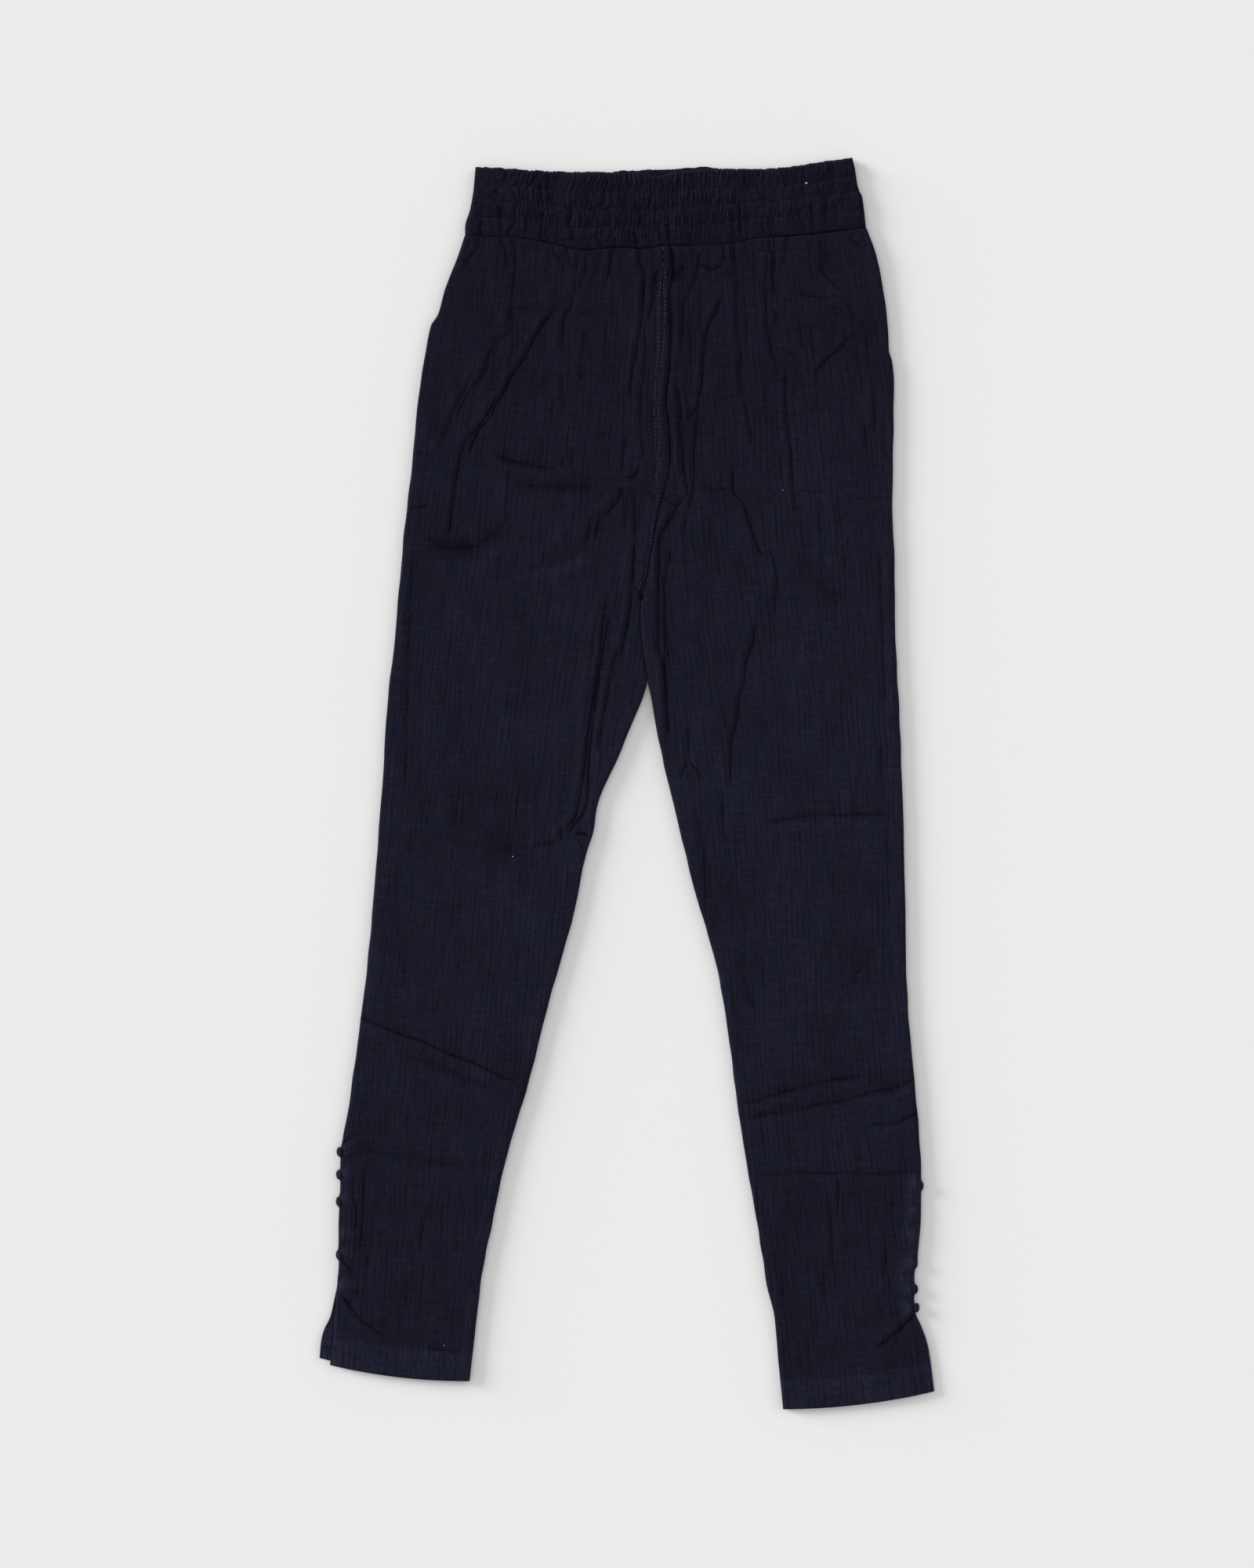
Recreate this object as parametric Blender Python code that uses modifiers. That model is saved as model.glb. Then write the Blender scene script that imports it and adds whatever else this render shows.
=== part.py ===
"""Slim tapered pull-on trousers of striped navy cotton, laid flat with the front up.

Sizes are in millimetres, and become metres where a mesh is made. x runs to the wearer's left,
y towards the waist and z up off the floor. A place on the laid garment is (x, down), where down
is the distance below the highest point of the waistband.
"""

import math
from collections import namedtuple

import bmesh
import bpy
import numpy as np

MM = 0.001
NAME = "tapered_trousers"

# The garment's main sizes
LENGTH = 957.0
WAIST_Y = LENGTH / 2
CLOTH = 1.2
HEM_CLOTH = 1.8
HEM_DEPTH = 21.0
HEM_STEP = 0.5
SEAM_GAP = 0.3

# Heights above the floor
SEAM_HEIGHT = 2.3
LEG_HEIGHT = 5.0
HEM_HEIGHT = 4.4
YOKE_HEIGHT = 5.8
YOKE_FADE = 70.0

# The rolled edges: a quarter of an ellipse, then a short straight lip that meets the other panel's lip.
# The centre seam rolls in only part of the way.
ROLL = 3.0
ROLL_STEPS = 2
LIP = 0.6
CENTRE_FRONT_ROLL = math.radians(60)
FORK_BLEND = 60.0

# The felled centre front seam, a flat band beside the seam line on the right front leg
FELL_WIDTH = 8.5
FELL_RISE = 0.5

# How finely a leg is divided, across and along
FRONT_COLUMNS = 16
BACK_COLUMNS = 6
ROWS_TO_FORK = 12
ROWS_TO_ANKLE = 10
ROWS_AT_ANKLE = 14
ANKLE = 190.0

# The waistband
BAND_WALL = 3.0
BAND_INSIDE = BAND_WALL + SEAM_GAP
BAND_BASE = 2.4
BAND_ROLL = 4.0
CHANNEL_PUFF = 0.6
GATHERS = 48
GATHER_RISE = 0.95
GATHER_SLANT = 2.2
GATHER_UNEVEN = 0.3
SEED = 7

# The covered ankle buttons
BUTTON_WIDTH = 7.4
BUTTON_THICK = 2.7
BUTTON_SHANK = 0.3
BUTTON_SHANK_WIDTH = 2.4
BUTTON_TILT = math.radians(25)
BUTTON_HEIGHT = 3.2
BUTTON_SIDES = 8

NAVY = (28, 28, 40)
BAND_NAVY = (24, 23, 34)
BUTTON_NAVY = (32, 32, 46)
COTTON_ROUGHNESS = 0.9

Along = namedtuple("Along", "down x")
Across = namedtuple("Across", "x down")
Side = namedtuple("Side", "part x")
Row = namedtuple("Row", "part puff gather height")
Fold = namedtuple("Fold", "width rise path")
Leg = namedtuple("Leg", "name side outseam slit_front slit_back inseam hem_front hem_back hem_inner")

# The line where the two legs meet, from the waistband down the centre seam to the fork
CENTRE_SEAM = [
    Along(68, 32.5),
    Along(84, 34.5),
    Along(110, 32),
    Along(134, 32.5),
    Along(161, 31.5),
    Along(184, 29),
    Along(206, 31.5),
    Along(233, 32.5),
    Along(251, 28.5),
    Along(287, 20.5),
    Along(317, 15.5),
    Along(335, 11),
    Along(350, 10),
    Along(371, 11.5),
    Along(400, 16),
]
FORK = CENTRE_SEAM[-1].down

RIGHT_LEG = Leg(
    name="right",
    side=-1,
    outseam=[
        Along(59, -124),
        Along(74, -129),
        Along(101, -139.5),
        Along(119, -144.5),
        Along(128, -150),
        Along(155, -155),
        Along(191, -160.5),
        Along(227, -163.5),
        Along(299, -171.5),
        Along(371, -178),
        Along(407, -182),
        Along(479, -187),
        Along(551, -192.5),
        Along(623, -199),
        Along(695, -208.5),
        Along(731, -213.5),
        Along(749, -217),
        Along(767, -219),
        Along(800, -219.5),
        Along(812, -220.3),
        Along(843, -220.6),
        Along(861, -221.8),
    ],
    slit_front=[Along(892, -223.5), Along(922, -227)],
    slit_back=[Along(872, -223.5), Along(887, -227), Along(896, -231.5), Along(906, -234), Along(918, -235)],
    inseam=[
        Along(407, 14),
        Along(425, 7),
        Along(461, -8),
        Along(497, -23),
        Along(515, -25.5),
        Along(533, -31.5),
        Along(569, -38.5),
        Along(641, -58.5),
        Along(713, -77),
        Along(749, -88),
        Along(785, -97),
        Along(821, -104.5),
        Along(857, -111.5),
        Along(887, -115),
        Along(935.5, -120.5),
    ],
    hem_front=922,
    hem_back=918,
    hem_inner=935.5,
)

LEFT_LEG = Leg(
    name="left",
    side=1,
    outseam=[
        Along(53, 183),
        Along(74, 190.5),
        Along(101, 196),
        Along(137, 200),
        Along(147, 200.5),
        Along(155, 202.5),
        Along(173, 204),
        Along(245, 203),
        Along(263, 202.5),
        Along(299, 204),
        Along(371, 205.5),
        Along(443, 209),
        Along(515, 211.5),
        Along(623, 213.5),
        Along(659, 215.5),
        Along(731, 222),
        Along(767, 224.6),
        Along(795, 225.2),
        Along(820, 224),
        Along(840, 222),
        Along(855, 219.7),
        Along(878, 219.7),
    ],
    slit_front=[Along(899, 225), Along(911, 228.5), Along(944, 232.5)],
    slit_back=[Along(885, 221.2), Along(893, 224.6), Along(903, 228.4), Along(911, 230.6), Along(943.5, 235)],
    inseam=[
        Along(425, 20.5),
        Along(461, 27.5),
        Along(479, 32),
        Along(551, 49.5),
        Along(623, 69.5),
        Along(659, 76),
        Along(731, 85.5),
        Along(803, 97.5),
        Along(839, 103.5),
        Along(865, 107.5),
        Along(887, 113),
        Along(916, 115.5),
        Along(957, 119.5),
    ],
    hem_front=944,
    hem_back=943.5,
    hem_inner=957,
)

# The laid hems sag between their ends by this much
HEM_BOW = 3.2

BAND_TOP_FRONT = [
    Across(-116, 7),
    Across(-91, 8),
    Across(-72, 9.4),
    Across(-56, 10.6),
    Across(-24, 11),
    Across(4, 11.4),
    Across(20, 13.6),
    Across(36, 11.6),
    Across(58, 9.4),
    Across(75, 9.4),
    Across(108, 9),
    Across(130, 6.6),
    Across(150, 3.2),
    Across(173, 0.6),
]
BAND_TOP_BACK = [
    Across(-116, 8),
    Across(-72, 10),
    Across(-24, 11.2),
    Across(0, 10.2),
    Across(18, 9.2),
    Across(30, 9.4),
    Across(58, 7.4),
    Across(72, 9),
    Across(108, 9.2),
    Across(130, 7),
    Across(150, 3.2),
    Across(173, 0),
]
BAND_SEAM_GAP = 0.5
BAND_SEAM = [
    Across(-124, 59),
    Across(-91, 60.5),
    Across(-64, 62.5),
    Across(-36, 68.5),
    Across(-8, 68),
    Across(17, 68.5),
    Across(33, 66.5),
    Across(70, 67),
    Across(86, 63),
    Across(132, 59),
    Across(162, 55),
    Across(183, 53),
]
BAND_SEAM_BACK = [Across(-124, 59), Across(33, 68), Across(183, 53)]
BAND_SIDE_RIGHT = [Side(0, -116), Side(0.32, -117.5), Side(0.6, -120), Side(0.88, -124), Side(1, -124)]
BAND_SIDE_LEFT = [Side(0, 172.5), Side(0.15, 174.5), Side(0.43, 177), Side(0.55, 180), Side(1, 183)]

# Across the depth of the waistband: the rolled top edge, then four channels parted by three rows of sewing.
# puff and gather are shares of CHANNEL_PUFF and GATHER_RISE, and height is the share of BAND_BASE.
BAND_ROWS = [
    Row(part=0.0, puff=0.0, gather=0.1, height=0.35),
    Row(part=0.035, puff=0.3, gather=0.6, height=0.9),
    Row(part=0.135, puff=1.0, gather=1.0, height=1.0),
    Row(part=0.27, puff=0.0, gather=0.45, height=1.0),
    Row(part=0.385, puff=1.0, gather=0.9, height=1.0),
    Row(part=0.5, puff=0.0, gather=0.45, height=1.0),
    Row(part=0.615, puff=1.0, gather=0.9, height=1.0),
    Row(part=0.73, puff=0.0, gather=0.45, height=1.0),
    Row(part=0.87, puff=1.0, gather=1.0, height=1.0),
    Row(part=1.0, puff=0.0, gather=0.35, height=0.95),
]

# The back half's rows, and how far its rolled top edge stands off the floor at each
BACK_BAND_COLUMNS = 24
BACK_BAND_PARTS = [0.0, 0.04, 0.5, 1.0]
BACK_BAND_LIFT = [1.3, 0.0, 0.0, 0.0]

# The largest folds: a negative rise is a trough. Each path runs through (x, down).
FOLDS = [
    Fold(8, -1.2, [(-53, 110), (-90, 167), (-125, 224), (-137, 292)]),
    Fold(7, -1.0, [(-93, 62), (-88, 108), (-99, 140), (-146, 224)]),
    Fold(7, -1.1, [(-40, 84), (-41, 107), (-50, 139), (-50, 170)]),
    Fold(7, -1.1, [(3, 72), (13, 89), (9, 135), (-2, 214), (-3, 241)]),
    Fold(7, 0.8, [(-72, 72), (-66, 110), (-76, 150)]),
    Fold(7, 0.7, [(-18, 74), (-22, 120), (-26, 190)]),
    Fold(8, -1.2, [(-14, 339), (-23, 382), (-28, 440), (-37, 493), (-47, 515)]),
    Fold(7, 0.9, [(-3, 345), (-12, 400), (-22, 450), (-32, 485)]),
    Fold(9, -1.0, [(-144, 293), (-118, 296), (-91, 279)]),
    Fold(10, -1.2, [(-202, 658), (-143, 682), (-82, 707)]),
    Fold(9, -0.9, [(-214, 760), (-160, 764), (-106, 772)]),
    Fold(6, -0.9, [(-203, 773), (-203, 816), (-205, 838)]),
    Fold(7, -1.0, [(-214, 871), (-196, 890), (-177, 905)]),
    Fold(7, -1.0, [(53, 80), (44, 112), (42, 135)]),
    Fold(8, -1.2, [(72, 103), (61, 131), (57, 170), (53, 209), (51, 256)]),
    Fold(8, -1.2, [(45, 249), (38, 272), (26, 299), (25, 350)]),
    Fold(7, 0.9, [(70, 160), (66, 210), (62, 262), (48, 292)]),
    Fold(7, -1.0, [(83, 107), (87, 167), (95, 224)]),
    Fold(7, -1.1, [(112, 72), (112, 100), (113, 152), (116, 167)]),
    Fold(7, -0.9, [(121, 160), (124, 223), (130, 267)]),
    Fold(7, 0.8, [(99, 72), (100, 120), (103, 180)]),
    Fold(8, -1.0, [(150, 84), (163, 105), (181, 128), (146, 167)]),
    Fold(9, -1.0, [(53, 252), (130, 254), (200, 256)]),
    Fold(7, -1.0, [(81, 235), (88, 262), (97, 288), (108, 309)]),
    Fold(8, -1.0, [(98, 352), (86, 413), (80, 446), (79, 482)]),
    Fold(7, -1.0, [(47, 434), (45, 460), (57, 478)]),
    Fold(9, -1.1, [(105, 508), (156, 502), (208, 502)]),
    Fold(10, -1.2, [(88, 723), (133, 711), (186, 701)]),
    Fold(9, -0.9, [(98, 775), (160, 776), (220, 776)]),
    Fold(6, -0.8, [(198, 810), (200, 855)]),
    Fold(8, -1.1, [(217, 887), (196, 910), (187, 913)]),
]

# Places down each leg of its covered buttons
BUTTONS = {"right": [760, 777.5, 798, 838], "left": [786, 846.5, 866, 880.5]}


def smooth_step(value):
    value = np.clip(value, 0.0, 1.0)
    return value * value * (3 - 2 * value)


def curve_through(rows, at):
    """The second column at each value of the first, on a smooth curve that never overshoots a row."""
    xs = np.array([row[0] for row in rows], float)
    ys = np.array([row[1] for row in rows], float)
    steps = np.diff(xs)
    slopes = np.diff(ys) / steps
    tangents = np.zeros(len(xs))
    tangents[0], tangents[-1] = slopes[0], slopes[-1]
    same_way = slopes[:-1] * slopes[1:] > 0
    before, after = slopes[:-1][same_way], slopes[1:][same_way]
    tangents[1:-1][same_way] = 2 * before * after / (before + after)
    at = np.clip(at, xs[0], xs[-1])
    i = np.clip(np.searchsorted(xs, at, side="right") - 1, 0, len(steps) - 1)
    t = (at - xs[i]) / steps[i]
    start = ys[i] * (1 + 2 * t) * (1 - t) ** 2 + tangents[i] * steps[i] * t * (1 - t) ** 2
    end = ys[i + 1] * t * t * (3 - 2 * t) + tangents[i + 1] * steps[i] * t * t * (t - 1)
    return start + end


def distance_to_path(x, down, path):
    """Distance from each point to a path of straight runs, in plan."""
    nearest = np.full(np.shape(x), np.inf)
    for (ax, ad), (bx, bd) in zip(path, path[1:]):
        run = np.array([bx - ax, bd - ad], float)
        share = np.clip(((x - ax) * run[0] + (down - ad) * run[1]) / (run @ run), 0, 1)
        nearest = np.minimum(nearest, np.hypot(x - ax - share * run[0], down - ad - share * run[1]))
    return nearest


def folds_at(x, down):
    rise = np.zeros(np.shape(x))
    for fold in FOLDS:
        rise += fold.rise * np.exp(-((distance_to_path(x, down, fold.path) / fold.width) ** 2))
    return np.clip(rise, -1.4, 1.1)


def row_places(leg):
    """Places down the inner edge of a leg at which its rows lie: the hem's fold-over starts in a narrow step."""
    top = CENTRE_SEAM[0].down + BAND_SEAM_GAP
    to_fork = np.linspace(top, FORK, ROWS_TO_FORK + 1)
    to_ankle = np.linspace(FORK, leg.hem_inner - ANKLE, ROWS_TO_ANKLE + 1)[1:]
    to_hem = np.linspace(leg.hem_inner - ANKLE, leg.hem_inner - HEM_DEPTH - 1.5, ROWS_AT_ANKLE + 1)[1:]
    hem = [leg.hem_inner - HEM_DEPTH + 1.5, leg.hem_inner]
    return np.concatenate([to_fork, to_ankle, to_hem, hem])


def panel_edges(leg, slit, hem_outer):
    """Plan points of a panel's outer and inner edge, one pair for each row."""
    inner_down = row_places(leg)
    inner_x = curve_through(CENTRE_SEAM + leg.inseam, inner_down) + leg.side * SEAM_GAP / 2
    share = (inner_down - inner_down[0]) / (inner_down[-1] - inner_down[0])
    outer_top = leg.outseam[0].down + BAND_SEAM_GAP
    slant = (inner_down[0] - outer_top) * (1 - share) + (leg.hem_inner - hem_outer) * share
    outer_down = inner_down - slant
    outer_x = curve_through(leg.outseam + slit, outer_down)
    return np.stack([outer_x, outer_down], 1), np.stack([inner_x, inner_down], 1)


def roll_to_centre(inner_down, at_centre):
    """How far the inner edge rolls in: at_centre along the centre seam, and a quarter turn below the fork."""
    blend = smooth_step((inner_down - FORK + FORK_BLEND) / FORK_BLEND)
    return at_centre + (math.pi / 2 - at_centre) * blend


def rolled_edge(last_angle):
    """(inset, turned, lip) of each point of an edge that rolls through last_angle, from the edge inwards.

    inset is the distance from the edge, turned is 1 - cos of the angle rolled through, and lip is how much of the
    lip's depth lies above the point.
    """
    turn = np.linspace(1, 0, ROLL_STEPS + 1)
    spread = (1 - math.sin(last_angle)) * (1 - turn)
    inset = LIP * math.cos(last_angle) + ROLL * (math.sin(last_angle) - np.sin(turn * last_angle) + spread)
    turned = 1 - np.cos(turn * last_angle)
    lip = np.zeros(ROLL_STEPS + 2)
    lip[0] = math.sin(last_angle)
    return np.append(0, inset), np.append(turned[0], turned), lip


def panel_plan(leg, slit, hem_outer, columns, centre_roll):
    """(x, down, turned, lip, inset) of each point of a panel, as arrays of rows by columns."""
    plan = []
    for start, end in zip(*panel_edges(leg, slit, hem_outer)):
        width = np.hypot(*(end - start))
        outer_inset, outer_turned, outer_lip = rolled_edge(math.pi / 2)
        inner_inset, inner_turned, inner_lip = rolled_edge(roll_to_centre(end[1], centre_roll))
        flat = np.linspace(outer_inset[-1], width - inner_inset[-1], columns + 1)[1:-1]
        level = np.zeros(len(flat))
        along = np.concatenate([outer_inset, flat, width - inner_inset[::-1]])
        turned = np.concatenate([outer_turned, level, inner_turned[::-1]])
        lip = np.concatenate([outer_lip, level, inner_lip[::-1]])
        x = start[0] + (end[0] - start[0]) * along / width
        down = start[1] + (end[1] - start[1]) * along / width
        plan.append((x, down, turned, lip, np.minimum(along, width - along)))
    return np.moveaxis(np.array(plan), 1, 0)


def follow_seam(x, down):
    """Bends the rows near the waistband to its seam line."""
    miss = curve_through(BAND_SEAM, x[0]) + BAND_SEAM_GAP - down[0]
    return down + miss * (1 - smooth_step((down - down[0]) / YOKE_FADE))


def sag_hem(leg, x, down):
    share = (x - x[:, :1]) / (x[:, -1:] - x[:, :1])
    near_hem = smooth_step((down - leg.hem_inner + 4 * HEM_DEPTH) / (3 * HEM_DEPTH))
    return down + HEM_BOW * 4 * share * (1 - share) * near_hem


def is_hem(rows):
    """True for the points of the last two rows, where the cloth is turned up."""
    inside = np.zeros(rows, bool)
    inside[-2:] = True
    return inside


def front_heights(leg, x, down, turned, lip, inset):
    """Height of the front panel's outer surface."""
    rows = len(x)
    below_seam = down - down[0]
    above_hem = down[-1] - down
    flat = LEG_HEIGHT + (YOKE_HEIGHT - LEG_HEIGHT) * (1 - smooth_step(below_seam / YOKE_FADE))
    flat = flat + (HEM_HEIGHT - LEG_HEIGHT) * (1 - smooth_step(above_hem / (5 * HEM_DEPTH)))
    flat = flat + HEM_STEP * is_hem(rows)[:, None]
    rolled = flat - (flat - SEAM_HEIGHT - SEAM_GAP / 2 - LIP) * turned - LIP * lip
    away = smooth_step((inset - 0.5 * ROLL) / (2 * ROLL))
    near_band = smooth_step(below_seam / 12)
    rise = folds_at(x, down) * away * near_band
    if leg is RIGHT_LEG:
        beside = curve_through(CENTRE_SEAM, down) - x
        fell = smooth_step((FELL_WIDTH + 1 - beside) / 2) * (down < FORK - 55)
        rise = rise * (1 - 0.7 * fell) + FELL_RISE * fell
    return rolled + rise


def back_heights(turned, lip):
    """Height of the back panel's underside: on the floor, but for its rolled edges."""
    return (SEAM_HEIGHT - SEAM_GAP / 2 - LIP) * turned + LIP * lip


def linear(colour):
    shares = np.array(colour) / 255
    return tuple(np.where(shares <= 0.04045, shares / 12.92, ((shares + 0.055) / 1.055) ** 2.4)) + (1.0,)


def cloth_material(name, colour):
    material = bpy.data.materials.new(name)
    material.use_nodes = True
    shader = material.node_tree.nodes["Principled BSDF"]
    shader.inputs["Base Color"].default_value = linear(colour)
    shader.inputs["Roughness"].default_value = COTTON_ROUGHNESS
    shader.inputs["Metallic"].default_value = 0.0
    return material


def add_object(name, mesh, collection, colour):
    piece = bpy.data.objects.new(name, mesh)
    mesh.materials.append(cloth_material(name + "_cotton", colour))
    mesh.shade_smooth()
    collection.objects.link(piece)
    return piece


def sheet_mesh(name, x, down, z, faces_up):
    """An open sheet of quads over a grid of points."""
    rows, columns = x.shape
    bm = bmesh.new()
    bmesh.ops.create_grid(bm, x_segments=columns - 1, y_segments=rows - 1, size=1)
    bm.verts.ensure_lookup_table()
    for vert, place in zip(bm.verts, zip(x.flat, down.flat, z.flat)):
        vert.co = (place[0] * MM, (WAIST_Y - place[1]) * MM, place[2] * MM)
    bm.normal_update()
    if (sum(face.normal.z for face in bm.faces) > 0) != faces_up:
        bmesh.ops.reverse_faces(bm, faces=bm.faces)
    mesh = bpy.data.meshes.new(name)
    bm.to_mesh(mesh)
    bm.free()
    return mesh


def add_leg_panel(name, x, down, z, faces_up, collection):
    """A leg panel: its outer surface, given a wall that is thicker where the hem is turned up."""
    mesh = sheet_mesh(name, x, down, z, faces_up)
    piece = add_object(name, mesh, collection, NAVY)
    hem = piece.vertex_groups.new(name="hem")
    points = np.arange(x.size).reshape(x.shape)[is_hem(len(x))]
    hem.add([int(point) for point in points.flat], 1.0, "REPLACE")
    wall = piece.modifiers.new("wall", "SOLIDIFY")
    wall.thickness = HEM_CLOTH * MM
    wall.offset = -1
    wall.vertex_group = hem.name
    wall.thickness_vertex_group = CLOTH / HEM_CLOTH
    return piece


def add_front(leg, collection):
    plan = panel_plan(leg, leg.slit_front, leg.hem_front, FRONT_COLUMNS, CENTRE_FRONT_ROLL)
    x, down, turned, lip, inset = plan
    down = sag_hem(leg, x, follow_seam(x, down))
    z = front_heights(leg, x, down, turned, lip, inset)
    return add_leg_panel("front_" + leg.name, x, down, z, True, collection)


def add_back(leg, collection):
    x, down, turned, lip, _ = panel_plan(leg, leg.slit_back, leg.hem_back, BACK_COLUMNS, 0.0)
    down = sag_hem(leg, x, down)
    return add_leg_panel("back_" + leg.name, x, down, back_heights(turned, lip), False, collection)


def wall_mesh(name, outer, inner):
    """A closed wall between two grids of points of one size, such as a gathered face over a plain one."""
    rows, columns = outer.shape[:2]
    count = rows * columns
    grid = np.arange(count).reshape(rows, columns)
    quads = np.stack([grid[:-1, :-1], grid[:-1, 1:], grid[1:, 1:], grid[1:, :-1]], -1).reshape(-1, 4)
    edge = np.concatenate([grid[0, :-1], grid[:-1, -1], grid[-1, :0:-1], grid[:0:-1, 0]])
    following = np.roll(edge, -1)
    rim = np.stack([following, edge, edge + count, following + count], -1)
    faces = np.concatenate([quads, quads[:, ::-1] + count, rim])
    mesh = bpy.data.meshes.new(name)
    mesh.from_pydata((np.concatenate([outer.reshape(-1, 3), inner.reshape(-1, 3)]) * MM).tolist(), [], faces.tolist())
    bm = bmesh.new()
    bm.from_mesh(mesh)
    bmesh.ops.recalc_face_normals(bm, faces=bm.faces)
    bm.to_mesh(mesh)
    bm.free()
    return mesh


def band_plan(parts, top_edge, seam, across, lean):
    """Plan points of the waistband: across is in shares of its width between the rolled sides, lean moves a column."""
    turn = np.linspace(1, 0, ROLL_STEPS + 1)
    roll = BAND_ROLL * (1 - np.sin(turn * math.pi / 2))
    drop_roll = 1 - np.cos(turn * math.pi / 2)
    drop = np.concatenate([drop_roll, np.zeros(len(across)), drop_roll[::-1]])
    rows = []
    for part in parts:
        right = float(curve_through(BAND_SIDE_RIGHT, part))
        left = float(curve_through(BAND_SIDE_LEFT, part))
        middle = right + BAND_ROLL + (left - right - 2 * BAND_ROLL) * across + lean * (part - 0.5)
        x = np.concatenate([right + roll, middle, left - roll[::-1]])
        top = curve_through(top_edge, x)
        down = top + (seam(x) - top) * part
        rows.append(np.stack([x, WAIST_Y - down], -1))
    return np.array(rows), drop


def add_waistband_front(collection):
    """The front half of the waistband: uneven gathers raised over four channels, with a plain inside."""
    rng = np.random.default_rng(SEED)
    columns = 2 * GATHERS - 1
    pitches = 1 + GATHER_UNEVEN * rng.uniform(-1, 1, columns + 1)
    across = (np.cumsum(pitches) / pitches.sum())[:-1]
    waver = np.interp(across, np.linspace(0, 1, 9), rng.uniform(-1, 1, 9))
    lean = GATHER_SLANT * waver
    crest = np.where(np.arange(columns) % 2 == 0, rng.uniform(0.55, 1.0, columns), rng.uniform(-0.1, 0.15, columns))
    parts = [row.part for row in BAND_ROWS]
    plan, drop = band_plan(parts, BAND_TOP_FRONT, lambda x: curve_through(BAND_SEAM, x), across, lean)
    gather = np.concatenate([np.zeros(ROLL_STEPS + 1), crest, np.zeros(ROLL_STEPS + 1)])
    heights = []
    for row in BAND_ROWS:
        uneven = 1 + 0.25 * rng.uniform(-1, 1, len(gather))
        rise = BAND_BASE * row.height + CHANNEL_PUFF * row.puff + GATHER_RISE * row.gather * gather * uneven
        heights.append(BAND_INSIDE + SEAM_GAP + (rise - SEAM_GAP) * (1 - drop))
    outer = np.concatenate([plan, np.array(heights)[..., None]], -1)
    inner = outer.copy()
    inner[..., 2] = BAND_INSIDE
    return add_object("waistband_front", wall_mesh("waistband_front", outer, inner), collection, BAND_NAVY)


def add_waistband_back(collection):
    """The back half of the waistband: it rests flat, so its underside is plain."""
    across = np.linspace(0, 1, BACK_BAND_COLUMNS + 1)[1:-1]
    straight = np.array(BAND_SEAM_BACK).T
    plan, drop = band_plan(BACK_BAND_PARTS, BAND_TOP_BACK, lambda x: np.interp(x, *straight), across, 0 * across)
    lift = np.array(BACK_BAND_LIFT)[:, None]
    under = lift + (BAND_WALL - SEAM_GAP - lift) * drop
    outer = np.concatenate([plan, under[..., None]], -1)
    inner = outer.copy()
    inner[..., 2] = BAND_WALL
    return add_object("waistband_back", wall_mesh("waistband_back", outer, inner), collection, BAND_NAVY)


def button_profile():
    """Half of a covered button's section, from the middle of its face round to the end of its shank."""
    radius = BUTTON_WIDTH / 2
    angles = np.radians([0, 32, 64, 96])
    dome = [(radius * math.sin(angle), BUTTON_THICK * (0.35 + 0.65 * math.cos(angle))) for angle in angles]
    shank = BUTTON_SHANK_WIDTH / 2
    return dome + [(radius * 0.8, 0), (shank, 0), (shank, -BUTTON_SHANK), (0, -BUTTON_SHANK)]


def button_mesh():
    mesh = bpy.data.meshes.new("ankle_button")
    points = [(across * MM, 0, out * MM) for across, out in button_profile()]
    mesh.from_pydata(points, [(i, i + 1) for i in range(len(points) - 1)], [])
    return mesh


def add_button(leg, number, down, collection):
    """A covered button that stands off the outer seam, its face turned out and a little up."""
    piece = add_object(f"ankle_button_{leg.name}_{number}", button_mesh(), collection, BUTTON_NAVY)
    turned = piece.modifiers.new("turned", "SCREW")
    turned.steps = BUTTON_SIDES
    turned.render_steps = BUTTON_SIDES
    turned.use_merge_vertices = True
    turned.merge_threshold = 0.00001
    beside = down + BUTTON_WIDTH / 2 * np.array([-1, 0, 1])
    edge = leg.side * (leg.side * curve_through(leg.outseam + leg.slit_back, beside)).max()
    stand_off = SEAM_GAP + BUTTON_SHANK
    piece.location = (
        (edge + leg.side * stand_off) * MM,
        (WAIST_Y - down) * MM,
        BUTTON_HEIGHT * MM,
    )
    piece.rotation_euler = (0, leg.side * (math.pi / 2 - BUTTON_TILT), 0)
    return piece


def main():
    for old in list(bpy.data.objects):
        bpy.data.objects.remove(old)
    collection = bpy.data.collections.new(NAME)
    bpy.context.scene.collection.children.link(collection)
    for leg in (RIGHT_LEG, LEFT_LEG):
        add_back(leg, collection)
        add_front(leg, collection)
        for number, down in enumerate(BUTTONS[leg.name], 1):
            add_button(leg, number, down, collection)
    add_waistband_back(collection)
    add_waistband_front(collection)


main()
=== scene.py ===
"""Looks of slim tapered pull-on trousers in striped navy cotton, laid flat with the front up.

Laid out as an add-on and run as a script. Places are in millimetres until a mesh is made: x runs to the
wearer's left, and down is the distance below the highest point of the waistband.
"""

import math
from collections import namedtuple

import bmesh
import bpy
import numpy as np
from bpy.props import FloatProperty, FloatVectorProperty, IntProperty, PointerProperty
from mathutils import Matrix, Vector


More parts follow.
